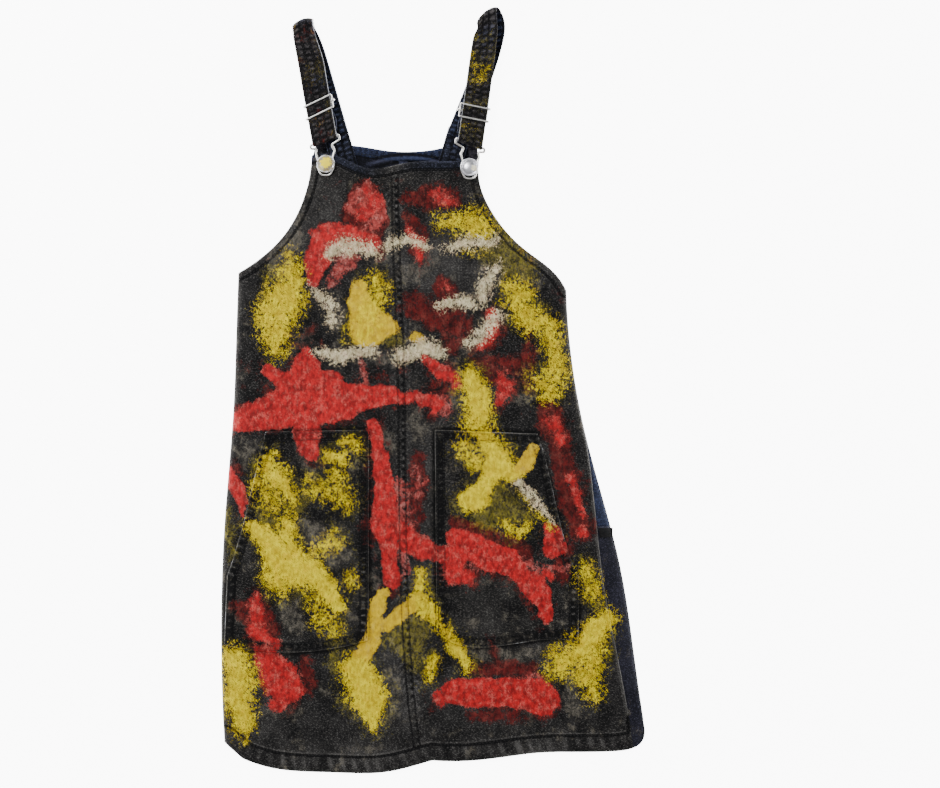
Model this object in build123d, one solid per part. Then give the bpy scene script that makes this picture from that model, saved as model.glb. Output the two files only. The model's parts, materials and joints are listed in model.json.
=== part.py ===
from build123d import *

import os
from math import cos, hypot, radians, sin

# A denim pinafore smock lying face up on a flat surface, in millimetres.
# +X is to the viewer's right, +Y runs from the hem to the shoulder straps, +Z points up from
# the surface. The origin is under the middle of the whole garment, on the surface.

# ---- cloth ------------------------------------------------------------------------------
DENIM = 1.2  # one layer of denim
HEM_THICK = 2.2  # a band or hem: turned and stitched
STRAP_THICK = 1.5  # the strap's two pressed layers
SEAM_WIDTH = 9.0  # flat-felled seam
SIDE_SEAM_WIDTH = 7.0
SEAM_RISE = 0.8  # how far a felled seam stands above the panels
NECK_BAND = 9.0
ARMHOLE_HEM = 8.0
BOTTOM_HEM = 18.0
POCKET_HEM = 9.0
POCKET_WALL = 2.0  # width of the stitched edge that holds a pocket down

# ---- heights above the surface ------------------------------------------------------------
BACK_TOP = DENIM
BACK_BAND_TOP = HEM_THICK
FRONT_LOW = 9.4
FRONT_TOP = FRONT_LOW + DENIM
FRONT_BAND_LOW = 8.9
FRONT_BAND_TOP = FRONT_BAND_LOW + HEM_THICK
POCKET_LOW = 15.0
POCKET_HEM_LOW = 14.9
POCKET_HEM_THICK = 1.6
ANCHOR_LOW = BACK_BAND_TOP
BACK_RUN_LOW = 4.1  # underside of the strap's run behind the shoulder
WIRE_Z = 12.6  # axis of the hook's loop round the button shank
BAR_Z = 14.2  # axis of the hook's top bar, inside the strap's fold

# ---- outlines (x, y) ------------------------------------------------------------------------
LEFT_SIDE = [(-209, -352), (-212, -275), (-208, -120), (-200, -20), (-197, 60), (-195, 119)]
LEFT_ARMHOLE = [(-195, 119), (-172, 134), (-148, 158), (-129, 193), (-121, 236)]
FRONT_NECK = [(-121, 236), (-98, 236), (-64, 222.5), (-28, 228), (10, 229.5), (46, 233)]
BACK_NECK = [(-121, 236), (-84, 247), (-43, 241), (7, 244), (24, 247), (46, 233)]
RIGHT_ARMHOLE = [(46, 233), (47, 206), (63, 173), (92, 142), (118, 122), (133, 102)]
RIGHT_SIDE = [(133, 102), (138, 36), (150, -33), (169, -105), (186, -170), (204, -285), (212, -338)]
RIGHT_SEAM = [(143, 4), (153, -44), (161, -106), (171.5, -196), (189, -286), (199, -346)]
HEM_RIGHT = [(212, -338), (209, -351), (178, -360.5), (105, -362), (53, -368.5), (-1, -369.5)]
HEM_LEFT = [(-1, -369.5), (-18, -374.5), (-48, -381.2), (-101, -381.5), (-156, -378), (-191, -367.5)]
HEM_CORNER = [(-191, -367.5), (-209, -352)]
HEM_JOINTS = [(-1, -370), (-194, -364), (207, -345)]  # turned corners of the hem
HEM_JOINT_WIDTH = 12.0
HEM_JOINT_HEIGHT = 30.0
CENTRE_FRONT = [(-38.5, 232), (-37, 153), (-33, 46), (-31, -60), (-26, -258), (-13, -376)]
CENTRE_BACK = [(-30, 246), (-28, 100), (-22, -100), (-6, -376)]
WRAP_TOP = 4.0  # above this the back panel no longer wraps round to the front
FACING_END = -135.0  # where the side opening's facing stops and the back panel shows

POCKET_TOP = {"left": [(-167, -40.5), (-64, -38.5)], "right": [(104.5, -42.5), (2, -38.5)]}
POCKET_SLANT = {
    "left": [(-167, -40.5), (-180, -95), (-191, -139), (-206, -184.5)],
    "right": [(104.5, -42.5), (119, -97), (131, -147), (146, -186.5)],
}
POCKET_FOOT = {
    "left": [(-209, -253.5), (-147, -260.5), (-64.5, -248.5)],
    "right": [(145, -251.5), (80, -252), (17, -249.5), (4, -240)],
}
LEFT_POCKET_SIDE = (-255.0, -185.0)  # where the left pocket is held by the side of the garment
TAB_BOX = (166.0, 180.0, -146.0, -136.5)  # the small folded tab in the right side seam
FAR = 500.0  # clear of the garment in any direction

# ---- straps and their metalwork -----------------------------------------------------------
STRAP_HALF = 12.9
CAP_RADIUS = 9.0
CAP_LOW = 15.0
CAP_HEIGHT = 3.8
CAP_EDGE = 1.2
SHANK_RADIUS = 3.4
SHANK_LOW = 11.4
PIN_RADIUS = 1.1
PIN_BORE = 1.25
PIN_TOP = 16.4
BORE_TOP = 16.9
TACK_RADIUS = 4.5
TACK_THICK = 1.0
HOOK_WIRE = 1.1
ADJUSTER_WIRE = 0.9
BAR_HOLE = 1.2  # inside radius of the strap's fold round the hook bar
FOLD_STUB = 5.0  # length of the strap's under layer that stays with the fold
ADJUSTER_HALF_HEIGHT = 6.3
ADJUSTER_EDGE = 14.8  # side rails of the slider's frame
ADJUSTER_RETURN = 12.2  # where the frame's open ends turn in under the strap
ADJUSTER_DIP = 2.9  # length over which the inner rail drops from the outer bars
BAR_START = 10.9  # reach of the centre bar towards the outer rail
KNUCKLE_OUT = 16.7  # the centre bar's end, hooked over the inner rail
KNUCKLE_BACK = 13.8
KNUCKLE_RISE = 1.9
BEND_RADIUS = 1.0
ADJUSTER_BAR_Z = 18.1
ADJUSTER_RAIL_Z = 16.5
CENTRE_BAR_Z = 12.6
TAIL_OUT = 10.6  # reach of the strap's tail along the centre bar, outwards and inwards
TAIL_IN = 12.6
TAIL_FLAP = 6.0
ANCHOR_LENGTH = 38.0
ANCHOR_OVER = 8.0  # how far the sewn end reaches out past the back neck
BACK_RUN_LENGTH = 150.0  # long enough to be cut off beside the hook bar
BACK_RUN_CLEAR = 2.0  # gap between the back run's cut end and the hook bar's line

# Each side: inner is the direction from the outer edge of the garment towards its middle.
SIDES = {
    "left": {
        "inner": 1,
        "button": (-106.8, 227.0),
        "lean": 10.2,
        "fold": [(-141.5, 364.5), (-115.5, 366.5)],
        "neck_end": (-93.5, 243.5),
        "adjuster": 33.0,
        "adjuster_slant": 26.0,
    },
    "right": {
        "inner": -1,
        "button": (36.1, 223.7),
        "lean": 8.1,
        "fold": [(68.0, 374.5), (42.0, 366.0)],
        "neck_end": (21.5, 243.5),
        "adjuster": 30.5,
        "adjuster_slant": 11.4,
    },
}

# The hook's wire, seen from the button's centre: (towards the middle, towards the strap, height).
BAR_OUT = (-15.3, 18.4)
BAR_IN = (12.9, 29.4)
HOOK_PATH = [
    (-15.3, 15.1, 13.2, 1.3),
    (-9.0, 15.2, WIRE_Z, 1.6),
    (-9.8, 10.0, WIRE_Z, 4.0),
    (-7.6, 3.0, WIRE_Z, 5.0),
    (-8.4, -3.0, WIRE_Z, 4.0),
    (-4.6, -10.9, WIRE_Z, 4.5),
    (3.8, -10.9, WIRE_Z, 4.5),
    (7.8, -3.0, WIRE_Z, 4.0),
    (6.4, 6.0, WIRE_Z, 5.0),
    (8.6, 13.5, WIRE_Z, 4.0),
    (5.4, 19.6, 12.9, 2.4),
    (13.4, 24.4, 13.6, 2.0),
]
BAR_END_RADIUS = 1.3
BUTT_GAP = 0.2  # half the gap where the wire's ends meet inside the strap


# ---- helpers ----------------------------------------------------------------------------------
def curve(points):
    return Line(*points) if len(points) == 2 else Spline(*points)


def outline(*runs):
    """A face bounded by curves that follow each other."""
    return Sketch() + make_face(Wire([curve(run).edge() for run in runs]))


def strip(points, reach):
    """The band within reach of a curve, on both sides of it."""
    path = curve(points)
    steps = 1 if len(points) == 2 else 5 * len(points)
    places = [step / steps for step in range(steps + 1)]
    left, right = [
        [path @ t + (path % t).rotate(Axis.Z, 90) * side * reach for t in places] for side in (1, -1)
    ]
    return outline(left, [left[-1], right[-1]], right[::-1], [right[0], left[0]])


def plate(shape, low, high):
    """Raises flat faces from one height to another."""
    raised = [extrude(face, amount=high - low, dir=(0, 0, 1)) for face in shape.faces()]
    return Part() + [Pos(0, 0, low) * solid for solid in raised]


def upright(radius, low, high):
    """A round bar standing on z = low."""
    return Pos(0, 0, low) * Cylinder(radius, high - low, align=(Align.CENTER, Align.CENTER, Align.MIN))


def zone(low, high):
    """Everything between two heights up the garment."""
    return Pos(0, (low + high) / 2) * Rectangle(2 * FAR, high - low)


def beyond(points, far_x):
    """Everything between a curve that runs up or down the garment and the line x = far_x."""
    first, last = points[0], points[-1]
    low, high = (first, last) if first[1] < last[1] else (last, first)
    path = points if first[1] < last[1] else points[::-1]
    run = [curve(path).edge()]
    run.append(Line(high, (high[0], FAR)).edge())
    run.append(Line((high[0], FAR), (far_x, FAR)).edge())
    run.append(Line((far_x, FAR), (far_x, -FAR)).edge())
    run.append(Line((far_x, -FAR), (low[0], -FAR)).edge())
    run.append(Line((low[0], -FAR), low).edge())
    return Sketch() + make_face(Wire(run))


def wire(path, radius):
    """A round wire along a path, starting square to it."""
    start = Plane(origin=path @ 0, z_dir=path % 0)
    return sweep(start * Circle(radius), path=path)


def rounded(points, radii):
    """Straight runs through points, with each inner corner rounded to its own radius."""
    return FilletPolyline(*points, radius=radii)


def unit(start, end):
    length = hypot(end[0] - start[0], end[1] - start[1])
    return ((end[0] - start[0]) / length, (end[1] - start[1]) / length)


def mid(a, b):
    return ((a[0] + b[0]) / 2, (a[1] + b[1]) / 2)


def along(point, direction, distance):
    return (point[0] + direction[0] * distance, point[1] + direction[1] * distance)


def quad(*corners):
    return make_face(Polyline(*corners, close=True))


def rolled(start, end, axis_z, inner, outer, keep):
    """Half a tube round the level line from start to end, on the side that keep points to."""
    across = unit(start, end)
    length = hypot(end[0] - start[0], end[1] - start[1])
    ring = Circle(outer) - Circle(inner)
    plane = Plane(origin=(*start, axis_z), x_dir=(*keep, 0), z_dir=(*across, 0))
    half = ring & (Pos(outer, 0) * Rectangle(2 * outer, 4 * outer))
    return extrude(plane * half, amount=length, dir=(*across, 0))


# ---- body of the garment --------------------------------------------------------------------------
def panels():
    """Panels, seams, bands and hems, as flat faces raised to their heights."""
    hem_runs = (HEM_RIGHT, HEM_LEFT, HEM_CORNER)
    front = outline(LEFT_SIDE, LEFT_ARMHOLE, FRONT_NECK, RIGHT_ARMHOLE, RIGHT_SIDE, *hem_runs)
    back = outline(LEFT_SIDE, LEFT_ARMHOLE, BACK_NECK, RIGHT_ARMHOLE, RIGHT_SIDE, *hem_runs)
    hem = strip(HEM_RIGHT[1:], BOTTOM_HEM) + strip(HEM_LEFT, BOTTOM_HEM) + strip(HEM_CORNER, BOTTOM_HEM)
    for x, y in HEM_JOINTS:
        hem += Pos(x, y) * Rectangle(HEM_JOINT_WIDTH, HEM_JOINT_HEIGHT)
    armhole = {
        "left": strip(LEFT_ARMHOLE, ARMHOLE_HEM),
        "right": strip(RIGHT_ARMHOLE, ARMHOLE_HEM),
    }
    neck = {"front": strip(FRONT_NECK, NECK_BAND), "back": strip(BACK_NECK, NECK_BAND)}
    wrap = front & beyond(RIGHT_SEAM, FAR) & zone(-FAR, WRAP_TOP)
    front_hem = (front - wrap) & hem
    back_hem = back & hem
    parts = {
        "front_hem": plate(front_hem, FRONT_BAND_LOW, FRONT_BAND_TOP),
        "back_hem": plate(back_hem, 0, BACK_BAND_TOP),
        "front_neck_band": plate(front & neck["front"], FRONT_BAND_LOW, FRONT_BAND_TOP),
        "back_neck_band": plate(back & neck["back"], 0, BACK_BAND_TOP),
    }
    front_field = front - wrap - front_hem - neck["front"]
    back_field = back - back_hem - neck["back"]
    for side, band in armhole.items():
        front_band = front_field & band
        back_band = back_field & band
        parts[f"front_armhole_hem_{side}"] = plate(front_band, FRONT_BAND_LOW, FRONT_BAND_TOP)
        parts[f"back_armhole_hem_{side}"] = plate(back_band, 0, BACK_BAND_TOP)
        front_field = front_field - band
        back_field = back_field - band
    split = {"left": -FAR, "right": FAR}
    for side, far in split.items():
        front_half = front_field & beyond(CENTRE_FRONT, far)
        back_half = back_field & beyond(CENTRE_BACK, far)
        parts[f"front_panel_{side}"] = plate(front_half, FRONT_LOW, FRONT_TOP)
        parts[f"back_panel_{side}"] = plate(back_half, 0, BACK_TOP)
    seam = (strip(CENTRE_FRONT, SEAM_WIDTH / 2) & front) - neck["front"] - hem
    parts["centre_front_seam"] = plate(seam, FRONT_TOP, FRONT_TOP + SEAM_RISE)
    seam = (strip(CENTRE_BACK, SEAM_WIDTH / 2) & back) - neck["back"] - hem
    parts["centre_back_seam"] = plate(seam, BACK_TOP, BACK_TOP + SEAM_RISE)
    seam = (strip(RIGHT_SEAM, SIDE_SEAM_WIDTH / 2) & front) - hem
    parts["side_seam_right"] = plate(seam - wrap, FRONT_TOP, FRONT_TOP + SEAM_RISE)
    facing_zone = zone(FACING_END, FAR)
    parts["side_facing_right"] = plate(wrap & facing_zone, FRONT_LOW, FRONT_TOP)
    wall_left = plate(strip(LEFT_SIDE, DENIM) & front, BACK_TOP, FRONT_LOW)
    wall_right = plate(strip(RIGHT_SIDE, DENIM) & front, BACK_TOP, FRONT_LOW)
    bands = parts["front_hem"] + parts["back_hem"]
    for side in split:
        bands += parts[f"front_armhole_hem_{side}"] + parts[f"back_armhole_hem_{side}"]
    parts["side_seam_left"] = wall_left - bands
    fold = (wall_right - bands) + plate(wrap - facing_zone, FRONT_LOW, FRONT_TOP)
    parts["back_panel_fold_right"] = fold - parts["back_hem"]
    low_x, high_x, low_y, high_y = TAB_BOX
    tab = Pos(low_x, low_y) * Rectangle(high_x - low_x, high_y - low_y, align=(Align.MIN, Align.MIN))
    parts["side_tab"] = plate(tab, FRONT_TOP + SEAM_RISE, FRONT_TOP + SEAM_RISE + DENIM)
    return parts, front


def pocket(side, front):
    """A patch pocket sewn down along its top, inner side and foot, open along its slanted side."""
    top, slant, foot = POCKET_TOP[side], POCKET_SLANT[side], POCKET_FOOT[side]
    face = outline(slant, [slant[-1], foot[0]], foot, [foot[-1], top[-1]], [top[-1], top[0]])
    face = face & front
    rim = strip(top, POCKET_WALL) + strip([foot[-1], top[-1]], POCKET_WALL)
    rim += strip(foot, POCKET_WALL) + strip([slant[-1], foot[0]], POCKET_WALL)
    if side == "left":
        rim += strip(LEFT_SIDE, POCKET_WALL) & zone(*LEFT_POCKET_SIDE)
    hem = face & strip(slant, POCKET_HEM)
    walls = plate(face & rim, FRONT_TOP, POCKET_LOW)
    hem_solid = plate(hem, POCKET_HEM_LOW, POCKET_HEM_LOW + POCKET_HEM_THICK)
    patch = plate(face - hem, POCKET_LOW, POCKET_LOW + DENIM) + (walls - hem_solid)
    return patch, hem_solid


# ---- straps -------------------------------------------------------------------------------------------
def side_frame(side):
    """Places and directions that one strap's pieces share."""
    data = SIDES[side]
    inner, (bx, by) = data["inner"], data["button"]
    lean = radians(data["lean"])
    out_end = (bx + inner * BAR_OUT[0], by + BAR_OUT[1])
    in_end = (bx + inner * BAR_IN[0], by + BAR_IN[1])
    across = unit(out_end, in_end)
    middle = ((out_end[0] + in_end[0]) / 2, (out_end[1] + in_end[1]) / 2)
    up = (-inner * sin(lean), cos(lean))
    return data, inner, across, middle, up, out_end, in_end


def hook(side):
    data, inner, across, middle, _, out_end, in_end = side_frame(side)
    bx, by = data["button"]
    points = [(*along(middle, across, -BUTT_GAP), BAR_Z), (*out_end, BAR_Z)]
    points += [(bx + inner * u, by + v, z) for u, v, z, _ in HOOK_PATH]
    points += [(*in_end, BAR_Z), (*along(middle, across, BUTT_GAP), BAR_Z)]
    radii = [BAR_END_RADIUS] + [step[3] for step in HOOK_PATH] + [BAR_END_RADIUS]
    return wire(rounded(points, radii), HOOK_WIRE)


def strap(side):
    """Front run from the hook bar to the shoulder, the fold there, and the run down the back."""
    data, inner, across, middle, up, _, _ = side_frame(side)
    outer, near = along(middle, across, -STRAP_HALF), along(middle, across, STRAP_HALF)
    fold_out, fold_in = data["fold"]
    front_low = BAR_Z + BAR_HOLE
    front_run = plate(quad(outer, near, fold_in, fold_out), front_low, front_low + STRAP_THICK)
    stub = quad(outer, near, along(near, up, FOLD_STUB), along(outer, up, FOLD_STUB))
    under_low = BAR_Z - BAR_HOLE - STRAP_THICK
    under = plate(stub, under_low, under_low + STRAP_THICK)
    towards_hem = (across[1], -across[0]) if inner > 0 else (-across[1], across[0])
    bar_fold = rolled(outer, near, BAR_Z, BAR_HOLE, BAR_HOLE + STRAP_THICK, towards_hem)
    middle_z = (BACK_RUN_LOW + front_low + STRAP_THICK) / 2
    fold_outer = front_low + STRAP_THICK - middle_z
    fold_across = unit(fold_out, fold_in)
    away = (-fold_across[1] * inner, fold_across[0] * inner)
    top_fold = rolled(fold_out, fold_in, middle_z, fold_outer - STRAP_THICK, fold_outer, away)
    down = unit(mid(fold_out, fold_in), data["neck_end"])
    back_end_out, back_end_in = [along(point, down, BACK_RUN_LENGTH) for point in (fold_out, fold_in)]
    back_face = quad(fold_out, fold_in, back_end_in, back_end_out)
    shelf = along(middle, towards_hem, -BACK_RUN_CLEAR)
    far_a, far_b = along(shelf, across, -FAR), along(shelf, across, FAR)
    below = quad(far_a, far_b, along(far_b, towards_hem, FAR), along(far_a, towards_hem, FAR))
    back_run = plate(back_face - below, BACK_RUN_LOW, BACK_RUN_LOW + STRAP_THICK)
    return front_run + under + bar_fold + top_fold + back_run


def strap_anchor(side):
    """The strap's other end, sewn flat to the inside of the back neck band."""
    data = SIDES[side]
    fold_out, fold_in = data["fold"]
    down = unit(mid(fold_out, fold_in), data["neck_end"])
    square = (down[1], -down[0])
    top = along(data["neck_end"], down, -ANCHOR_OVER)
    foot = along(top, down, ANCHOR_LENGTH)
    a, b = along(top, square, -STRAP_HALF), along(top, square, STRAP_HALF)
    c, d = along(foot, square, STRAP_HALF), along(foot, square, -STRAP_HALF)
    return plate(quad(a, b, c, d), ANCHOR_LOW, ANCHOR_LOW + STRAP_THICK)


def adjuster(side):
    """The wire slider on the front run, its centre bar and the strap's tail sewn round that bar."""
    data, inner, _, middle, up, _, _ = side_frame(side)
    slant = radians(data["adjuster_slant"])
    across = (inner * cos(slant), sin(slant))
    centre = along(middle, up, data["adjuster"])

    def place(a, b, z):
        x, y = along(along(centre, across, a), up, b)
        return (x, y, z)

    half, rail, edge = ADJUSTER_HALF_HEIGHT, ADJUSTER_RETURN, ADJUSTER_EDGE
    frame_points = [
        place(-rail, BUTT_GAP, CENTRE_BAR_Z),
        place(-rail, half, CENTRE_BAR_Z),
        place(-edge, half, CENTRE_BAR_Z),
        place(-edge, half, ADJUSTER_BAR_Z),
        place(edge, half, ADJUSTER_BAR_Z),
        place(edge, half - ADJUSTER_DIP, ADJUSTER_RAIL_Z),
        place(edge, ADJUSTER_DIP - half, ADJUSTER_RAIL_Z),
        place(edge, -half, ADJUSTER_BAR_Z),
        place(-edge, -half, ADJUSTER_BAR_Z),
        place(-edge, -half, CENTRE_BAR_Z),
        place(-rail, -half, CENTRE_BAR_Z),
        place(-rail, -BUTT_GAP, CENTRE_BAR_Z),
    ]
    frame = wire(rounded(frame_points, BEND_RADIUS), ADJUSTER_WIRE)
    bar_points = [
        place(-BAR_START, 0, CENTRE_BAR_Z),
        place(KNUCKLE_OUT, 0, CENTRE_BAR_Z),
        place(KNUCKLE_OUT, 0, ADJUSTER_RAIL_Z + KNUCKLE_RISE),
        place(KNUCKLE_BACK, 0, ADJUSTER_RAIL_Z + KNUCKLE_RISE),
    ]
    bar = wire(rounded(bar_points, BEND_RADIUS), ADJUSTER_WIRE)
    tail_out, tail_in = place(-TAIL_OUT, 0, 0)[:2], place(TAIL_IN, 0, 0)[:2]
    outer = ADJUSTER_WIRE + STRAP_THICK
    square = (-across[1] * inner, across[0] * inner)
    tail = rolled(tail_out, tail_in, CENTRE_BAR_Z, ADJUSTER_WIRE, outer, square)
    flap = quad(tail_out, tail_in, along(tail_in, up, -TAIL_FLAP), along(tail_out, up, -TAIL_FLAP))
    low = CENTRE_BAR_Z - outer
    tail += plate(flap, low, low + STRAP_THICK)
    tail += plate(flap, CENTRE_BAR_Z + ADJUSTER_WIRE, CENTRE_BAR_Z + outer)
    return frame, bar, tail


def button(side):
    """The tack through the bib and the cap that turns on its pin."""
    x, y = SIDES[side]["button"]
    place = Pos(x, y)
    tack = upright(TACK_RADIUS, FRONT_BAND_LOW - TACK_THICK, FRONT_BAND_LOW)
    tack += upright(PIN_RADIUS, FRONT_BAND_LOW, PIN_TOP)
    cap = upright(CAP_RADIUS, CAP_LOW, CAP_LOW + CAP_EDGE)
    crown = CAP_HEIGHT - CAP_EDGE
    ball = (CAP_RADIUS**2 + crown**2) / (2 * crown)
    dome = Pos(0, 0, CAP_LOW + CAP_HEIGHT - ball) * Sphere(ball)
    cap += dome & upright(CAP_RADIUS, CAP_LOW + CAP_EDGE, CAP_LOW + CAP_HEIGHT)
    cap += upright(SHANK_RADIUS, SHANK_LOW, CAP_LOW)
    cap -= upright(PIN_BORE, SHANK_LOW, BORE_TOP)
    return place * tack, place * cap


def build():
    parts, front = panels()
    for side in SIDES:
        parts[f"pocket_{side}"], parts[f"pocket_opening_hem_{side}"] = pocket(side, front)
        parts[f"tack_{side}"], parts[f"button_cap_{side}"] = button(side)
        parts[f"hook_{side}"] = hook(side)
        parts[f"strap_{side}"] = strap(side)
        parts[f"strap_anchor_{side}"] = strap_anchor(side)
        frame, bar, tail = adjuster(side)
        parts[f"adjuster_{side}"] = frame
        parts[f"adjuster_bar_{side}"] = bar
        parts[f"strap_tail_{side}"] = tail
    for name in list(parts):
        if name.startswith("front_"):
            for side in SIDES:
                parts[name] = parts[name] - parts[f"tack_{side}"]
    return parts


os.makedirs("parts", exist_ok=True)
for node, solid in build().items():
    export_step(solid, f"parts/{node}.step")
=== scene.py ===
import json
import math

import bpy
import numpy as np
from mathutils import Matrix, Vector, geometry


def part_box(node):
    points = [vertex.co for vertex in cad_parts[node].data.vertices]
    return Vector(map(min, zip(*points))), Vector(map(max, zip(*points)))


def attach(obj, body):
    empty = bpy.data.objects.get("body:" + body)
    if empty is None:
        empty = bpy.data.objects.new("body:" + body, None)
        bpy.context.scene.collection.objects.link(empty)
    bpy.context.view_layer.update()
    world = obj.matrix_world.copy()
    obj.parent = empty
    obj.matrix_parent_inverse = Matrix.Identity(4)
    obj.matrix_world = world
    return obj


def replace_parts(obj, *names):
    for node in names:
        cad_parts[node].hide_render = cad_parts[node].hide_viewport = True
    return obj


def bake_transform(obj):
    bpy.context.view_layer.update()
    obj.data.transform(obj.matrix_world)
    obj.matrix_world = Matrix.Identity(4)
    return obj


# A denim pinafore smock lying face up, splashed with studio paint. The cloth is worked out here in
# millimetres from the outlines of the CAD nodes and turned into metres when a mesh is made.
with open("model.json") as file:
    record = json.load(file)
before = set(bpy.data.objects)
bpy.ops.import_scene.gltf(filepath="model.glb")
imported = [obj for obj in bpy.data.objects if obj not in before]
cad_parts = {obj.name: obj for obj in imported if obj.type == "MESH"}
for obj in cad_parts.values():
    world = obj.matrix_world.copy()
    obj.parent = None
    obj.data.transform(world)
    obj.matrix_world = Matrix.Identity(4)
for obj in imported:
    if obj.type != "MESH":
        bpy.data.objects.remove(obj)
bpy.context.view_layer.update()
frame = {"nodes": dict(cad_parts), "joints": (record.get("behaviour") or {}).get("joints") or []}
MM = 0.001
SIDES = ("left", "right")

# ---- cloth, in millimetres ----
PLY, BACK_PLY, TURN = 1.1, 1.05, 1.0  # a layer of the front, of the back, and of a turned edge
UNDER = 0.04  # gap between a layer and the turned edge under it
FINE, COARSE = 1.25, 2.5  # mesh spacing beside seams and hems, and in the open cloth
FOLD_TOP = 2.4  # top of the cloth where the side folds meet the surface
FIELD_TOP = 10.9  # top of the front layer in the middle of the garment
CORNER_RISE = 11.0  # how far the back shows above the front beside the buttons
SEAM_HALF = 4.5  # half the width of a felled seam
RIDGE = 3.4  # width of the side seam's ridge
STITCH, STITCH_PITCH, STITCH_RADIUS = 2.6, 3.5, 0.27
# metres; narrower strips are declared this wide, with their own area
LEAST_CUT = 0.0101  # metres; narrower strips are taken as this wide, with their own area, when a flat size is worked out
HEMS = {
    # edge: width of its hem and distance of its stitching, then the ripple's skew, pitch and height,
    # how worn the ripple is, and how worn the cloth is just past the stitching
    "hem": (18.0, 16.4, 0.25, 12.5, 0.42, 0.62, 1.0),
    "arm_left": (8.0, 7.0, 0.4, 9.0, 0.18, 0.3, 0.3),
    "arm_right": (8.0, 7.0, 0.4, 9.0, 0.18, 0.3, 0.3),
    "neck": (9.0, 7.6, 0.4, 9.0, 0.18, 0.3, 0.3),
}
BOTTOM_HEM, NECK_HEM = HEMS["hem"][0], HEMS["neck"][0]
FRONT = ("front_panel_left", "front_panel_right")
BACK = ("back_panel_left", "back_panel_right")


# ---- noise and planar geometry ----
def bumps(x, y, scale, seed):
    """Smooth noise from -1 to 1 whose bumps are about `scale` across."""
    table = np.random.default_rng(seed).uniform(-1, 1, (256, 256))
    u, v = np.asarray(x) / scale + 4096.0, np.asarray(y) / scale + 4096.0
    i, j = np.floor(u).astype(int), np.floor(v).astype(int)
    fu, fv = u - i, v - j
    fu, fv = fu * fu * (3 - 2 * fu), fv * fv * (3 - 2 * fv)
    a, b = (
        table[i & 255, (j + k) & 255] * (1 - fu) + table[(i + 1) & 255, (j + k) & 255] * fu for k in (0, 1)
    )
    return a * (1 - fv) + b * fv


def smooth(value, low, high):
    t = np.clip((np.asarray(value, float) - low) / (high - low), 0, 1)
    return t * t * (3 - 2 * t)


def bell(d, reach):
    return np.exp(-((d / reach) ** 2))


def highest(*values):
    return np.maximum.reduce(np.broadcast_arrays(*values))


def unit(v):
    """The same vectors, one long."""
    return v / np.maximum(np.sqrt((v * v).sum(-1, keepdims=True)), 1e-9)


def left_of(v):
    """Vectors in the plane, turned a quarter to the left."""
    return np.stack([-v[..., 1], v[..., 0]], -1)


def lengths(p):
    return np.concatenate([[0], np.cumsum(np.sqrt((np.diff(p, axis=0) ** 2).sum(1)))])


def at_run(q, run, p):
    """Points of a polyline at distances q along it."""
    return np.column_stack([np.interp(q, run, p[:, k]) for k in range(p.shape[1])])


def even(points, count):
    """The polyline again, as `count` points evenly spaced along it."""
    p = np.asarray(points, float)
    run = lengths(p)
    return at_run(np.linspace(0, run[-1], count), run, p)


def resample(points, step):
    """The polyline again, with even spacing near `step`."""
    return even(points, max(2, round(lengths(np.asarray(points, float))[-1] / step) + 1))


def offset(line, distance):
    """A smooth line moved to its own left."""
    return line + left_of(unit(np.gradient(line, axis=0))) * distance


class Curve:
    """A line in the plane that can say how far points are from it and how far along."""

    def __init__(self, points, step=1.5):
        self.p = resample(points, step)
        self.s = lengths(self.p)
        self.length = self.s[-1]

    def find(self, x, y):
        """Distance, distance along, and which side: left of the line is positive."""
        a, b = self.p[:-1], self.p[1:]
        d, mids = b - a, (a + b) / 2
        out = np.empty((3, len(x)))
        for low in range(0, len(x), 4096):
            part = slice(low, low + 4096)
            q = np.stack([x[part], y[part]], 1)
            near = ((q[:, None] - mids[None]) ** 2).sum(2).argmin(1)
            w = q - a[near]
            t = np.clip((w * d[near]).sum(1) / (d * d).sum(1)[near], 0, 1)
            out[0, part] = np.hypot(*(w - t[:, None] * d[near]).T)
            out[1, part] = self.s[near] + t * (self.s[near + 1] - self.s[near])
            out[2, part] = np.sign(d[near, 0] * w[:, 1] - d[near, 1] * w[:, 0])
        return out


def inside(p, loop):
    x, y = p.T
    hit = np.zeros(len(x), bool)
    for (x0, y0), (x1, y1) in zip(loop, np.roll(loop, -1, 0)):
        if y0 != y1:
            hit ^= ((y0 > y) != (y1 > y)) & (x < (x1 - x0) * (y - y0) / (y1 - y0) + x0)
    return hit


def top_loop(node):
    """Outline of a plate's upper face, in millimetres, anticlockwise."""
    mesh = frame["nodes"][node].data
    co = [v.co for v in mesh.vertices]
    level = max(c.z for c in co)
    edges = {}
    for poly in mesh.polygons:
        if poly.normal.z > 0.9 and all(abs(co[i].z - level) < 2e-5 for i in poly.vertices):
            keys = [(round(co[i].x, 5), round(co[i].y, 5)) for i in poly.vertices]
            for a, b in zip(keys, keys[1:] + keys[:1]):
                if (b, a) in edges:
                    del edges[(b, a)]
                else:
                    edges[(a, b)] = True
    after = dict(edges.keys())
    loops = []
    while after:
        start = next(iter(after))
        loop, here = [start], after.pop(start)
        while here != start and here in after:
            loop.append(here)
            here = after.pop(here)
        loops.append(loop)
    return np.array(max(loops, key=len)) / MM


def side(node, start, end):
    """The part of a plate's outline between the corners nearest to two points."""
    loop = top_loop(node)
    first, last = (np.hypot(*(loop - at).T).argmin() for at in (start, end))
    if last < first:
        last += len(loop)
    return loop[np.arange(first, last + 1) % len(loop)]


def box_mm(node):
    """A node's lowest and highest corners at rest, in millimetres."""
    return [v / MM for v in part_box(node)]


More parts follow.
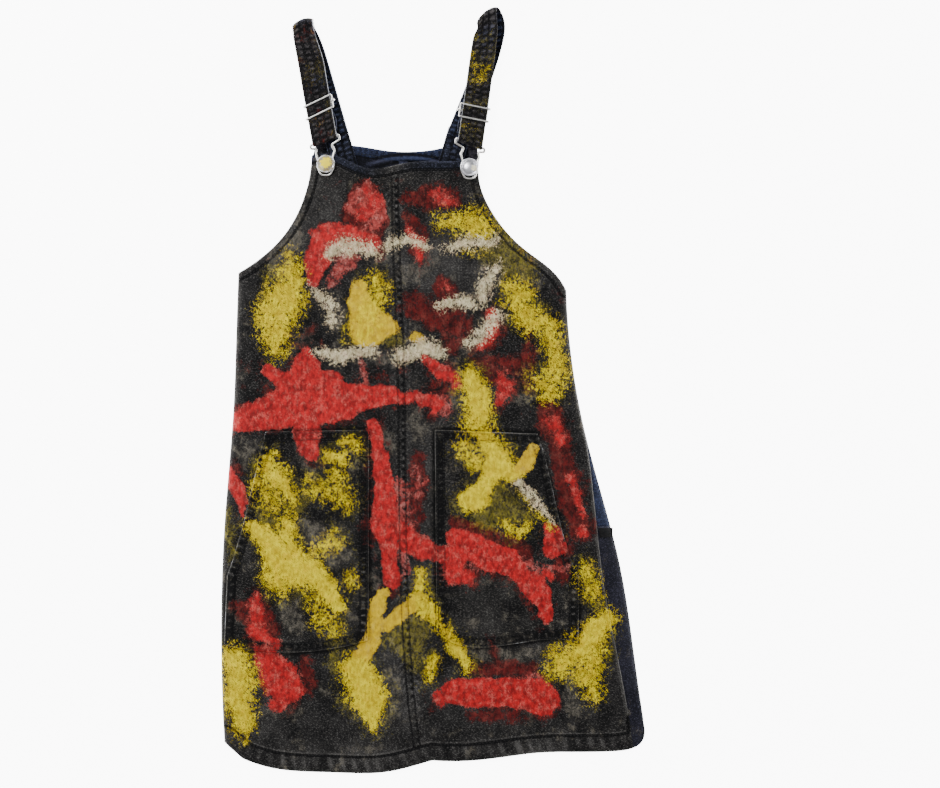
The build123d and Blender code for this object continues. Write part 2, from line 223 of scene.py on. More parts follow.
# ---- outlines ----
HEM_START, HEM_END = (-209, -352), (210.7, -330)
UNDERARM_RIGHT, UNDERARM_LEFT = (133, 102), (-195, 119)
NECK_RIGHT, NECK_LEFT = (46, 233), (-121, 236)
CENTRE_POINTS = 290  # points along each edge of a centre seam
hem_edge = side("back_hem", HEM_START, HEM_END)
right_edge = side("back_panel_right", HEM_END, UNDERARM_RIGHT)
right_arm = side("back_armhole_hem_right", UNDERARM_RIGHT, NECK_RIGHT)
neck_front = side("front_neck_band", NECK_RIGHT, NECK_LEFT)
neck_back = resample(side("back_neck_band", NECK_RIGHT, NECK_LEFT), 2.0)
along_neck = lengths(neck_back)
corner_run = np.minimum(along_neck, along_neck[-1] - along_neck)
neck_back[:, 1] += CORNER_RISE * smooth(corner_run, 0, 5) * (1 - smooth(corner_run, 14, 32))
left_arm = side("front_armhole_hem_left", NECK_LEFT, UNDERARM_LEFT)
left_edge = side("side_seam_left", UNDERARM_LEFT, HEM_START)
seam_right = side("side_seam_right", (197.7, -336.4), (142.7, 3.9))
facing_end = side("side_facing_right", (164.0, -135.0), (177.4, -135.0))
seam_a = side("centre_front_seam", (-11.8, -354.0), (-33.9, 217.5))
seam_b = side("centre_front_seam", (-42.9, 215.4), (-20.5, -356.5))
centre_line = (even(seam_a, CENTRE_POINTS) + even(seam_b, CENTRE_POINTS)[::-1]) / 2

FRONT_CURVES = {
    "hem": Curve(hem_edge),
    "right": Curve(right_edge),
    "arm_right": Curve(right_arm),
    "neck": Curve(neck_front),
    "arm_left": Curve(left_arm),
    "left": Curve(left_edge),
    "seam_right": Curve(seam_right),
    "centre": Curve(centre_line),
}
C = FRONT_CURVES | {"neck_back": Curve(neck_back)}
HOOK_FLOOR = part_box("hook_left")[0].z / MM - 0.75  # the cloth stays below this under the hooks
BUTTONS = [sum(box_mm(f"button_cap_{s}"), Vector()) / 2 for s in SIDES]


def far(name, p):
    """How far points are from a named line."""
    return C[name].find(*p.T)[0]


# ---- the shape of the front ----
def front_edges(x, y):
    return {name: curve.find(x, y) for name, curve in FRONT_CURVES.items()}


def along(s, scale, seed, row=0.0):
    """Noise along a line."""
    return bumps(s, np.full_like(s, row), scale, seed)


def pucker(s, seed, pitch):
    """The roped ripple that a topstitched hem takes on, along its length."""
    drift = along(s, 24, seed, seed * 7.3) * 2.6
    return np.sin(2 * math.pi * s / pitch + drift) * (0.55 + 0.45 * along(s, 31, seed + 1, seed * 3.1))


def front_height(x, y, detail=True):
    """Top of the front layer above the surface, how worn the cloth is there, and how shaded."""
    e = front_edges(x, y)
    sides = np.minimum(e["left"][0], e["right"][0])
    roll = np.sqrt(np.clip(1 - (1 - np.clip(sides / 46, 0, 1)) ** 2.4, 0, 1))
    hem = 0.42 + 0.58 * smooth(e["hem"][0], 0, 75) ** 0.8
    arms = np.minimum(e["arm_left"][0], e["arm_right"][0])
    near_button = np.minimum(*[np.hypot(x - at.x, y - at.y) for at in BUTTONS])
    held = 1 - smooth(near_button, 26, 85)
    lift = roll * hem * (1 - (0.62 * (1 - held)) * np.exp(-arms / 17))
    z = FOLD_TOP + (FIELD_TOP - FOLD_TOP) * lift
    loose = lift * (1 - held)
    z += loose * 1.1 * bumps(x, y * 0.55, 74, 11)
    z += loose * 0.55 * bumps(x * 0.8 + y * 0.5, y * 0.6 - x * 0.3, 34, 12)
    z += loose * 0.16 * bumps(x, y, 13, 13)
    wear, dark = np.zeros_like(z), np.zeros_like(z)
    if detail:
        for seed, (name, (width, line, skew, pitch, size, worn, past)) in enumerate(HEMS.items(), 21):
            d, s, _ = e[name]
            ripple = pucker(s + d * skew, seed, pitch)
            close, groove_shade, lip = bell(d - line * 0.55, line * 0.6), bell(d - line, 0.9), bell(d - line - 1.9, 0.9)
            z += 0.6 * (1 - smooth(d, width - 1.0, width + 0.8)) + size * ripple * close
            z += 0.2 * lip - 0.4 * groove_shade
            patchy = 0.5 + 0.5 * bumps(s, d * 2.0, 17, seed + 5)
            wear = highest(
                wear, worn * smooth(ripple, -0.2, 0.8) * close * patchy, 0.8 * np.exp(-d) * patchy,
                0.75 * lip * (0.35 + 0.65 * patchy) * past,
            )
            # painted shade along the groove of each row of stitching
            dark = np.maximum(dark, np.clip(groove_shade * 1.3, 0, 1))
        d, s, _ = e["centre"]
        beside, ripple = bell(d - 6.0, 4.0), pucker(s + d, 31, 9.0)
        z += 0.22 * beside * ripple
        wear = highest(wear, 0.35 * beside * (0.4 + 0.6 * ripple), 0.5 * np.exp(-sides / 2.5))
        d, s, _ = e["seam_right"]
        z += 0.25 * bell(d - 5.0, 4.0) * pucker(s + d, 33, 8.0)
    over = np.maximum(z - HOOK_FLOOR, 0) * (1 - smooth(near_button, 24, 36))
    return z - over, np.clip(wear, 0, 1), dark


def front_top(x, y):
    return front_height(x, y)[0]


# ---- meshes ----
def mesh_object(name, verts, faces, material, body):
    mesh = bpy.data.meshes.new(name)
    mesh.from_pydata((np.asarray(verts) * MM).tolist(), [], [list(map(int, f)) for f in faces])
    mesh.polygons.foreach_set("use_smooth", [True] * len(mesh.polygons))
    mesh.update()
    obj = bpy.data.objects.new(name, mesh)
    bpy.context.scene.collection.objects.link(obj)
    mesh.materials.append(material)
    if body:
        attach(obj, body)
    return obj


def store(obj, name, values, kind="color"):
    """Keeps a value at each point, for the materials to read."""
    layer = obj.data.attributes.new(name, f"FLOAT_{kind.upper()}", "POINT")
    layer.data.foreach_set(kind, np.asarray(values, np.float32).ravel())


def triangulate(outline, lines, fine_mask, fine=FINE, coarse=COARSE):
    """Triangles over an outline, with constraint lines, finer where fine_mask says."""
    ring = resample(np.vstack([outline, outline[:1]]), fine * 1.3)[:-1]
    edges = [(i, (i + 1) % len(ring)) for i in range(len(ring))]
    solid = ring
    for line in lines:
        p = resample(line, fine * 1.3)
        edges += [(len(solid) + i, len(solid) + i + 1) for i in range(len(p) - 1)]
        solid = np.vstack([solid, p])
    low, high = outline.min(0) - coarse, outline.max(0) + coarse
    rows = np.arange(low[1], high[1], fine * 0.866)
    cols = np.arange(low[0], high[0], fine)
    gx, gy = np.meshgrid(cols, rows)
    row, col = np.arange(len(rows))[:, None], np.arange(len(cols))[None, :]
    gx = gx + row % 2 * fine / 2
    keep = ((row % 2 == 0) & ((col + (row // 2) % 2) % 2 == 0)).ravel()
    grid = np.column_stack([gx.ravel(), gy.ravel()])
    ok = inside(grid, ring)
    grid, keep = grid[ok], keep[ok]
    grid = grid[keep | fine_mask(*grid.T)]
    rng = np.random.default_rng(5)
    grid = grid + np.column_stack([rng.uniform(-0.12, 0.12, len(grid)) for _ in (0, 1)])
    cell = {}
    for a, b in solid:
        cell.setdefault((int(a // 1.5), int(b // 1.5)), []).append((a, b))
    around = [(i, j) for i in (-1, 0, 1) for j in (-1, 0, 1)]

    def clear(a, b):
        """True where no point of an outline or line is close."""
        near = (q for i, j in around for q in cell.get((int(a // 1.5) + i, int(b // 1.5) + j), ()))
        return all((q[0] - a) ** 2 + (q[1] - b) ** 2 >= 0.5 for q in near)

    verts = [Vector(v) for v in (*solid, *(v for v in grid if clear(*v)))]
    out = geometry.delaunay_2d_cdt(verts, edges, [], 0, 1e-4, False)
    points = np.array([tuple(v) for v in out[0]])
    tris = np.array([f for f in out[2] if len(f) == 3])
    return points, tris[inside(points[tris].mean(1), ring)]


def border(tris):
    """Directed edges that only one triangle has."""
    edges = np.vstack([tris[:, [0, 1]], tris[:, [1, 2]], tris[:, [2, 0]]])
    size = edges.max() + 1
    return edges[~np.isin(edges[:, 0] * size + edges[:, 1], edges[:, 1] * size + edges[:, 0])]


def sheet_mesh(points, tris, top, thick, rims):
    """A closed layer of cloth: upper face, lower face and a rounded edge that stands out by rims."""
    n = len(points)
    edge = border(tris)
    rim = np.unique(edge)
    out = np.zeros((n, 2))
    d = -left_of(unit(points[edge[:, 1]] - points[edge[:, 0]]))
    for end in (0, 1):
        np.add.at(out, edge[:, end], d)
    upper, lower = top.copy(), top - thick
    upper[rim] -= 0.2 * thick
    lower[rim] += 0.2 * thick
    middle = points[rim] + unit(out)[rim] * (rims[rim] * thick)[:, None]
    place = {v: 2 * n + i for i, v in enumerate(rim)}
    rings = ((points, upper), (points, lower), (middle, top[rim] - thick / 2))
    verts = np.vstack([np.column_stack(ring) for ring in rings])
    faces = [tuple(t) for t in tris] + [(c + n, b + n, a + n) for a, b, c in tris]
    for a, b in edge:
        faces += [(b, a, place[a], place[b]), (place[b], place[a], a + n, b + n)]
    return verts, faces, np.concatenate([np.arange(n), np.arange(n), rim])


def tube_faces(rings, around):
    """Faces of a closed tube of rings with both ends capped."""
    faces = []
    for i in range(rings - 1):
        for j in range(around):
            a, b = i * around + j, i * around + (j + 1) % around
            faces.append((a, b, b + around, a + around))
    faces.append(tuple(range(around))[::-1])
    faces.append(tuple((rings - 1) * around + j for j in range(around)))
    return faces


# ---- paint ----
# Each kind of paint has its strokes: (strength, softness, then points (x, y, half width)).
STROKES = {
    "red": (
        (0.62, 6, (-68, 205, 6), (-56, 192, 9), (-70, 176, 10)),
        (0.85, 4, (-108, 160, 10), (-96, 156, 14), (-78, 152, 12), (-62, 148, 8)),
        (0.8, 4, (-114, 150, 13), (-117, 130, 13), (-117, 112, 8)), (0.62, 9, (4, 198, 6), (16, 192, 8)),
        (0.74, 6, (-22, 162, 5), (-12, 148, 9), (-12, 130, 6)), (0.5, 8, (12, 108, 7)),
        (0.8, 5, (60, 76, 6), (60, 60, 8), (50, 48, 7)), (0.85, 4, (-6, 34, 5), (10, 20, 8), (26, 4, 6)),
        (1.0, 3, (-127, 42, 5), (-126, 28, 11), (-128, 12, 16)),
        (1.0, 3, (-164, 22, 8), (-152, 10, 11), (-132, 6, 18), (-108, 6, 17), (-92, -4, 14)),
        (1.0, 3, (-203, -30, 8), (-188, -28, 11), (-160, -20, 17), (-120, -12, 19), (-84, -8, 16)),
        (1.0, 3, (-84, -8, 15), (-58, -6, 12), (-44, -2, 10)),
        (0.85, 4, (-40, -4, 8), (-20, -2, 7), (-6, -6, 9), (3, -12, 7), (0, -20, 4)),
        (0.72, 8, (72, 8, 11), (66, -10, 7)),
        (0.95, 3, (-204, -82, 8), (-194, -94, 9), (-188, -108, 6), (-188, -122, 2)),
        (0.85, 5, (-126, -42, 14), (-124, -58, 12)),
        (0.68, 6, (-176, -206, 6), (-176, -240, 8), (-158, -252, 8)),
        (1.0, 3, (-58, -36, 8), (-54, -58, 7), (-50, -84, 10), (-46, -104, 13)),
        (1.0, 3, (-46, -104, 13), (-48, -132, 15), (-44, -160, 12), (-42, -188, 8)),
        (0.9, 4, (-26, -134, 8), (-20, -152, 13), (-6, -158, 11)),
        (1.0, 3, (22, -142, 10), (36, -152, 14), (56, -162, 15), (76, -170, 12), (84, -180, 8)),
        (0.9, 4, (2, -160, 9), (22, -166, 14), (20, -182, 9), (38, -184, 7)),
        (1.0, 3, (84, -182, 8), (96, -190, 12), (104, -204, 12), (109, -220, 8), (110, -228, 6)),
        (0.95, 3, (116, -140, 9), (119, -154, 12)), (0.8, 4, (112, -180, 6), (118, -186, 4)),
        (0.66, 7, (120, -32, 8), (127, -48, 7)), (0.66, 5, (138, -86, 5), (144, -104, 6), (151, -122, 5)),
        (0.8, 5, (149, -138, 7)),
        (0.92, 7, (-170, -264, 12), (-158, -284, 19), (-150, -296, 18), (-156, -312, 11)),
        (1.0, 3, (18, -303, 12), (46, -303, 17), (78, -302, 15), (110, -308, 15)),
        (0.62, 5, (2, -306, 6), (8, -312, 6)),
    ),
    "yellow": (
        (0.74, 10, (-143, 134, 3), (-141, 114, 10), (-146, 98, 18)),
        (0.78, 10, (-146, 98, 16), (-155, 78, 18), (-160, 60, 13), (-157, 46, 7)),
        (0.72, 10, (16, 172, 6), (40, 168, 13), (46, 156, 15), (34, 148, 8)),
        (0.72, 9, (76, 106, 4), (88, 100, 9), (80, 84, 8), (98, 72, 12), (116, 64, 12), (122, 48, 8)),
        (0.74, 9, (126, 36, 5), (124, 16, 9), (116, 0, 9)),
        (0.66, 9, (-60, 112, 5), (-52, 100, 8), (-66, 72, 16), (-70, 54, 12)),
        (0.86, 7, (36, 14, 10), (43, -6, 13), (46, -24, 9)), (0.66, 7, (106, 10, 6), (122, 8, 5)),
        (0.8, 6, (-164, -72, 8), (-156, -84, 9), (-149, -100, 7), (-142, -106, 5)),
        (0.6, 8, (-170, -92, 8), (-162, -108, 9)),
        (0.98, 4, (-178, -132, 6), (-166, -148, 11), (-148, -166, 22), (-126, -180, 16)),
        (0.95, 4, (-126, -180, 14), (-108, -196, 8), (-94, -214, 6)),
        (0.8, 8, (-148, -126, 6), (-148, -150, 12), (-160, -186, 10), (-150, -192, 9)),
        (0.64, 7, (-122, -166, 8), (-100, -152, 8)),
        (0.85, 5, (-104, -62, 3), (-94, -64, 6), (-88, -72, 4)),
        (0.74, 5, (-88, -50, 4), (-78, -52, 6), (-76, -60, 4)),
        (0.56, 8, (-100, -84, 7), (-88, -108, 8), (-122, -96, 8)),
        (0.58, 8, (-114, -206, 7), (-110, -226, 9), (-98, -240, 5)), (0.56, 6, (-82, -190, 6)),
        (0.85, 5, (-12, -186, 6), (-13, -204, 8), (-5, -219, 6), (4, -230, 5)),
        (0.86, 4, (10, -236, 5), (20, -252, 7), (28, -270, 6), (31, -282, 3)),
        (0.66, 5, (2, -270, 5), (-6, -287, 4)),
        (0.8, 7, (40, -34, 7), (52, -40, 9), (60, -54, 9), (68, -66, 11), (70, -76, 11)),
        (1.0, 3, (62, -56, 8), (68, -70, 11), (60, -84, 11), (50, -98, 9)),
        (1.0, 3, (46, -106, 13), (36, -112, 9)), (0.58, 7, (32, -54, 10), (44, -66, 12)),
        (0.72, 4, (70, -78, 8), (80, -84, 7)), (0.64, 5, (88, -96, 3), (104, -118, 4), (114, -134, 3)),
        (0.72, 5, (74, -132, 4), (84, -138, 6), (92, -134, 4)), (0.56, 7, (152, -180, 7), (160, -204, 8)),
        (0.9, 6, (176, -228, 9), (162, -242, 13), (150, -258, 13)),
        (0.76, 10, (146, -252, 12), (132, -268, 13), (124, -280, 8)),
        (0.72, 9, (160, -256, 14), (154, -280, 14), (158, -300, 9)),
        (0.84, 9, (-199, -266, 10), (-195, -290, 16), (-194, -314, 12), (-192, -336, 8)),
        (0.98, 5, (-76, -276, 14), (-72, -292, 18), (-66, -308, 18), (-60, -322, 11), (-60, -334, 6)),
    ),
    "white": (
        (0.72, 3, (84, -90, 4), (96, -101, 6), (106, -116, 5), (116, -130, 3)),
        (0.8, 6, (-108, 138, 5), (-90, 147, 8), (-64, 143, 7)),
        (0.84, 6, (-44, 147, 6), (-24, 151, 8), (-4, 144, 6)),
        (0.78, 6, (18, 140, 5), (36, 149, 7), (60, 150, 7)),
        (0.84, 6, (66, 124, 5), (54, 108, 8), (50, 90, 7)), (0.82, 6, (8, 84, 5), (24, 90, 7), (36, 86, 6)),
        (0.72, 7, (-120, 104, 4), (-106, 90, 7), (-102, 70, 5)),
        (0.86, 6, (-116, 42, 5), (-90, 36, 8), (-60, 40, 7)),
        (0.86, 6, (-32, 34, 7), (-12, 42, 8), (8, 40, 5)), (0.8, 6, (36, 50, 5), (52, 60, 7), (66, 74, 5)),
    ),
    "wash": (
        (0.9, 3, (-138, 150, 8), (-150, 134, 13), (-152, 120, 12)), (0.6, 4, (94, 114, 8), (104, 108, 6)),
        (0.62, 10, (-30, 112, 12), (2, 130, 10)), (0.55, 10, (-128, 56, 12), (-140, 44, 9)),
        (0.6, 9, (90, -2, 10), (20, 4, 12)), (0.75, 9, (-188, -52, 10), (-182, -60, 9)),
        (0.85, 4, (-122, -168, 10), (-98, -152, 10), (-92, -166, 9)),
        (0.8, 3, (-94, -214, 5), (-80, -226, 5), (-70, -232, 3)),
        (0.6, 8, (-136, -212, 9), (-146, -228, 8), (-132, -234, 8)),
        (0.7, 6, (-46, -46, 11), (-40, -58, 8)), (0.7, 8, (-46, -286, 10), (-38, -306, 9), (-44, -328, 8)),
        (0.6, 8, (46, -260, 10), (62, -268, 8), (94, -268, 8)), (0.6, 6, (132, -306, 8), (148, -314, 6)),
        (0.62, 5, (-110, -300, 4), (-96, -306, 3)), (0.8, 6, (22, 14, 12), (24, -10, 10)),
        (0.75, 7, (98, 12, 9), (94, -8, 7)), (0.7, 8, (-132, -70, 10), (-122, -82, 8)),
        (0.75, 6, (-80, -56, 8), (-78, -78, 8)),
        (0.85, 6, (-132, -134, 8), (-112, -150, 14), (-100, -172, 10)),
        (0.7, 7, (-148, -212, 10), (-136, -232, 10)), (0.7, 8, (-150, 158, 6), (-156, 128, 10)),
        (0.62, 9, (-46, 190, 9), (-44, 160, 9), (-52, 128, 8)), (0.6, 8, (-90, 34, 9), (-44, 28, 8)),
        (0.66, 7, (14, 56, 8), (84, 8, 8)), (0.66, 8, (-16, -12, 8), (-12, -44, 9)),
        (0.7, 7, (-206, -216, 6), (-150, -258, 8)), (0.72, 6, (22, -258, 9), (60, -262, 9), (104, -262, 8)),
        (0.66, 7, (136, -290, 8), (140, -322, 9)), (0.6, 8, (-172, -322, 9), (-140, -318, 9)),
    ),
    "maroon": (
        (0.95, 3, (-67, 212, 5), (-68, 200, 15), (-68, 184, 22), (-60, 168, 17)),
        (0.8, 8, (-26, 194, 8), (-6, 194, 12), (16, 194, 14)),
        (0.75, 7, (-22, 176, 8), (-12, 160, 14), (-14, 138, 12)), (0.9, 4, (10, 106, 13), (14, 98, 11)),
        (0.75, 10, (42, 34, 10), (62, 22, 16), (88, 24, 12)), (0.6, 9, (100, 40, 10), (96, 10, 12)),
        (0.85, 8, (-196, -216, 8), (-178, -222, 16), (-166, -238, 14)),
        (0.8, 5, (-14, -66, 9), (-12, -96, 10), (-16, -122, 8)),
        (0.85, 5, (20, -130, 8), (50, -138, 9), (80, -152, 11), (92, -166, 9)),
        (0.8, 6, (126, -172, 10), (132, -184, 9)),
        (0.95, 7, (113, -14, 9), (122, -42, 16), (130, -72, 14), (136, -100, 13), (144, -132, 13)),
        (0.75, 7, (-128, -272, 10), (-128, -294, 12)),
        (0.78, 9, (36, -278, 9), (70, -276, 11), (100, -282, 9)), (0.7, 7, (40, -326, 8), (90, -326, 9)),
        (0.7, 8, (-16, 88, 16), (24, 62, 18), (18, 44, 10)), (0.72, 6, (58, -252, 5), (66, -270, 6)),
    ),
    "amber": (
        (0.98, 4, (-72, 98, 9), (-72, 82, 17), (-64, 64, 21), (-46, 66, 12)),
        (0.8, 4, (-18, 52, 6), (-10, 42, 5)), (0.75, 5, (38, 6, 8), (46, -14, 8)),
        (0.98, 3, (-50, -202, 7), (-57, -222, 8), (-60, -244, 8), (-68, -262, 10)),
        (0.95, 3, (-56, -234, 7), (-44, -232, 6), (-30, -220, 8), (-14, -206, 8)),
        (0.95, 3, (80, -78, 8), (90, -72, 9), (96, -58, 6)),
    ),
    "pink": (
        (0.85, 4, (-66, 206, 9), (-76, 186, 12), (-58, 184, 12), (-58, 166, 10)),
        (0.7, 7, (-100, 150, 16), (-88, 132, 14), (-96, 112, 9)),
        (0.75, 4, (-71, 40, 4), (-70, 22, 4), (-69, 4, 5)), (0.7, 6, (4, -8, 7), (13, -20, 8)),
        (0.6, 5, (-102, -2, 9), (-98, -16, 6)), (0.8, 3, (-34, -88, 3), (-31, -130, 3), (-30, -170, 3)),
        (0.55, 6, (-14, -76, 6), (-12, -100, 7)), (0.6, 5, (15, -170, 5), (132, -176, 5)),
        (0.6, 5, (100, -296, 12), (118, -306, 8)), (0.7, 6, (-26, -92, 6), (-24, -130, 8), (-28, -176, 6)),
    ),
    "olive": (
        (0.7, 8, (-150, 106, 22), (-160, 72, 20)),
        (0.72, 10, (20, 172, 12), (46, 162, 20), (66, 140, 22), (88, 118, 16)),
        (0.7, 9, (78, 100, 12), (100, 78, 18), (124, 50, 12), (124, 14, 12)),
        (0.72, 10, (-160, -84, 18), (-164, -112, 16), (-174, -150, 10), (-120, -92, 16), (-92, -96, 12)),
        (0.7, 8, (-40, -248, 12), (-16, -232, 14), (-20, -252, 12)),
        (0.75, 9, (40, -60, 20), (62, -56, 18), (58, -120, 20), (80, -118, 14), (96, -128, 8)),
        (0.72, 9, (154, -176, 9), (158, -206, 11), (170, -226, 10)),
        (0.72, 10, (172, -262, 14), (140, -280, 18)), (0.66, 7, (-96, -246, 8), (-96, -276, 8)),
        (0.62, 8, (-46, 60, 10), (-34, 46, 8)), (0.66, 8, (-206, -120, 8), (-204, -164, 8)),
        (0.7, 7, (-28, -262, 9), (-12, -276, 9), (0, -262, 6)),
    ),
}
KINDS = ("red", "yellow", "white", "wash", "maroon", "amber", "pink", "olive")
# How much each paint thins where painted shade lies, as in the hollows of a seam, so that the painted shade shows
# through it.
CATCH = dict.fromkeys(KINDS, 0.4) | {"red": 0.3, "amber": 0.25, "yellow": 0.5}
# How a stroke's strength becomes the level of its paint: the level at no strength, and the rise.
BODY = dict.fromkeys(KINDS, (0.45, 0.55)) | {"yellow": (0.22, 0.68), "white": (0.28, 0.58)}
# Dry paint: how much further than its own softness a stroke sprays out.
SPRAY = {"yellow": 1.6, "white": 1.2}
# The thin paint that spreads round a stroke: its kind, reach and strength.
HALO = {"yellow": ("olive", 13, 0.7), "red": ("maroon", 10, 0.7), "white": ("wash", 11, 0.78)}


def stroke_fields(x, y):
    """How strongly each kind of paint lies at each point, before its fine breakup."""
    wx, wy = (
        v + 4.2 * bumps(x, y, 27, seed) + 2.0 * bumps(x, y, 9, seed + 1) + 1.0 * bumps(x, y, 4, seed + 2)
        for v, seed in ((x, 61), (y, 64))
    )
    fields = {kind: np.zeros(len(x)) for kind in KINDS}
    patchy = np.clip(0.62 + 0.75 * bumps(x, y, 23, 77), 0, 1)
    for kind, (strength, soft, *points) in ((kind, stroke) for kind in STROKES for stroke in STROKES[kind]):
        for (x0, y0, r0), (x1, y1, r1) in zip(points, points[1:] or points):
            dx, dy = x1 - x0, y1 - y0
            t = np.clip(((wx - x0) * dx + (wy - y0) * dy) / max(dx * dx + dy * dy, 1e-6), 0, 1)
            d = np.hypot(wx - x0 - t * dx, wy - y0 - t * dy)
            r = r0 + (r1 - r0) * t
            level, rise = BODY[kind]
            value = (level + rise * strength) * smooth(d - r, soft * SPRAY.get(kind, 1.0), -soft)
            if kind in SPRAY:
                value = value + max(0.0, strength - 0.66) * smooth(d, 0.9 * r, 0.3 * r)
            fields[kind] = np.maximum(fields[kind], value)
            if kind in HALO:
                thin, reach, amount = HALO[kind]
                value = amount * patchy * smooth(d - r, reach * 1.6, reach * 0.2)
                fields[thin] = np.maximum(fields[thin], value)
    smear = np.clip(bumps(x, y, 19, 71) * 0.6 + bumps(x, y, 7, 72) * 0.4 + 0.06, 0, 1)
    fields["wash"] = np.maximum(fields["wash"], smear)
    rusty = np.clip(bumps(x, y, 31, 78) * 0.7 + bumps(x, y, 11, 79) * 0.4, 0, 1) * smooth(y, -60, 60)
    fields["maroon"] = np.maximum(fields["maroon"], 0.8 * rusty)
    return fields


def add_looks(obj, rest, wear=0.0, navy=0.0, fade=0.0, shade=0.0, paint=None):
    """Stores what the cloth's material reads: place in the cloth, wear, tint, shade and paint.

    paint is where the strokes reach, from 0 to 1, or a level for each kind of paint, or None.
    """
    spread = lambda v: np.broadcast_to(np.asarray(v, float), (len(rest),))
    store(obj, "rest", rest, "vector")
    store(obj, "cloth", np.column_stack([spread(v) for v in (wear, navy, fade, shade)]))
    if paint is not None and not isinstance(paint, dict):
        fields = stroke_fields(rest[:, 0], rest[:, 1])
        # each paint thins under the painted shade, so that the shade shows through it
        paint = {kind: fields[kind] * (1 - CATCH[kind] * spread(shade)) * paint for kind in KINDS}
    levels = [spread((paint or {}).get(kind, 0.0)) for kind in KINDS]
    store(obj, "paint_a", np.column_stack(levels[:4]))
    store(obj, "paint_b", np.column_stack(levels[4:]))


def in_cloth(verts, seed=0.0):
    """The place of each point in the cloth, where seed sets how its noise differs."""
    return np.column_stack([verts[:, :2], np.full(len(verts), seed)])


# ---- materials ----
def srgb(r, g, b):
    return tuple((c / 255 / 12.92 if c <= 10 else ((c / 255 + 0.055) / 1.055) ** 2.4) for c in (r, g, b)) + (1.0,)


def dimmed(tone, share):
    return tuple(c * share for c in tone[:3]) + (1.0,)


class Value:
    """A shader socket that can be written into a sum."""

    def __init__(self, graph, socket):
        self.graph, self.socket = graph, socket

    def by(self, operation, other=0.0):
        return self.graph.math(operation, self, other)

    def __add__(self, other):
        return self.by("ADD", other)

    def __sub__(self, other):
        return self.by("SUBTRACT", other)

    def __mul__(self, other):
        return self.by("MULTIPLY", other)

    def __truediv__(self, other):
        return self.by("DIVIDE", other)


class Graph:
    """Short names for the shader nodes used below."""

    def __init__(self, name):
        self.material = bpy.data.materials.new(name)
        self.material.use_nodes = True
        self.tree = self.material.node_tree
        self.tree.nodes.clear()
        self.shader = self.node("BsdfPrincipled")
        self.tree.links.new(self.shader.outputs[0], self.node("OutputMaterial").inputs[0])

    def node(self, kind, values=(), **settings):
        """A node with its first inputs filled in order, or by name where values is a dict."""
        node = self.tree.nodes.new("ShaderNode" + kind)
        for name, value in settings.items():
            setattr(node, name, value)
        for name, value in values.items() if isinstance(values, dict) else enumerate(values):
            self.put(node.inputs[name], value)
        return node

    def put(self, socket, value):
        if isinstance(value, Value):
            self.tree.links.new(value.socket, socket)
        else:
            socket.default_value = value

    def channels(self, name):
        """The four numbers of a stored colour."""
        node = self.node("Attribute", attribute_name=name)
        parts = self.node("SeparateColor", [Value(self, node.outputs["Color"])]).outputs
        return [Value(self, socket) for socket in (*parts, node.outputs["Alpha"])]

    def rest(self):
        """The place in the cloth."""
        return Value(self, self.node("Attribute", attribute_name="rest").outputs["Vector"])

    def place(self):
        """The place on the object."""
        return Value(self, self.node("TexCoord").outputs["Object"])

    def split(self, vector):
        return [Value(self, socket) for socket in self.node("SeparateXYZ", [vector]).outputs]

    def math(self, operation, a, b):
        return Value(self, self.node("Math", (a, b), operation=operation).outputs[0])

    def mix(self, factor, a, b):
        inputs = {0: factor, 6: a, 7: b}
        return Value(self, self.node("Mix", inputs, data_type="RGBA").outputs[2])

    def between(self, value, low, high, to_low=0.0, to_high=1.0, kind="SMOOTHSTEP"):
        inputs = (value, low, high, to_low, to_high)
        return Value(self, self.node("MapRange", inputs, interpolation_type=kind).outputs[0])

    def noise(self, vector, scale, detail, rough=0.5, stretch=None):
        if stretch:
            vector = Value(self, self.node("VectorMath", (vector, stretch), operation="MULTIPLY").outputs[0])
        inputs = {"Vector": vector, "Scale": scale, "Detail": detail, "Roughness": rough}
        return Value(self, self.node("TexNoise", inputs).outputs[0])

    def bump(self, height):
        """A bump from a height in millimetres."""
        inputs = {"Strength": 1.0, "Distance": 1.0, "Height": height * MM}
        return Value(self, self.node("Bump", inputs).outputs[0])

    def set(self, **values):
        for name, value in values.items():
            self.put(self.shader.inputs[name.replace("_", " ")], value)
        return self.material


PAINTS = {
    # kind: thin, thick and dried colours, breakup by weave, broad noise, speckle and fine noise,
    # level where it starts, how sharply it starts, opacity; in the order they lie on each other
    "wash": (srgb(56, 53, 48), srgb(116, 110, 98), srgb(146, 138, 124), 0.6, 1.9, 1.0, 1.0, 0.4, 0.62, 0.56),
    "maroon": (srgb(44, 12, 12), srgb(104, 24, 24), srgb(132, 62, 54), 0.4, 1.7, 1.0, 0.8, 0.4, 0.4, 0.84),
    "olive": (srgb(50, 47, 12), srgb(144, 132, 36), srgb(150, 140, 84), 1.0, 1.3, 2.8, 1.4, 0.5, 0.2, 0.6),
    "pink": (srgb(110, 34, 32), srgb(190, 84, 78), srgb(220, 150, 140), 0.6, 1.9, 1.6, 1.2, 0.46, 0.34, 0.72),
    "red": (srgb(112, 14, 16), srgb(206, 30, 34), srgb(222, 112, 100), 0.7, 1.0, 1.2, 1.0, 0.44, 0.2, 0.96),
    "amber": (srgb(178, 142, 8), srgb(232, 198, 6), srgb(200, 172, 80), 0.8, 1.1, 1.6, 1.2, 0.46, 0.12, 0.95),
    "yellow": (srgb(176, 150, 0), srgb(244, 226, 0), srgb(240, 204, 10), 1.3, 1.5, 2.8, 2.3, 0.5, 0.1, 1.0),
    "white": (srgb(160, 146, 112), srgb(236, 226, 184), srgb(222, 190, 164), 1.1, 1.4, 3.0, 2.6, 0.52, 0.12, 0.94),
}
THICK = ("red", "amber", "yellow", "white")  # paints that hide the weave and stand up from it


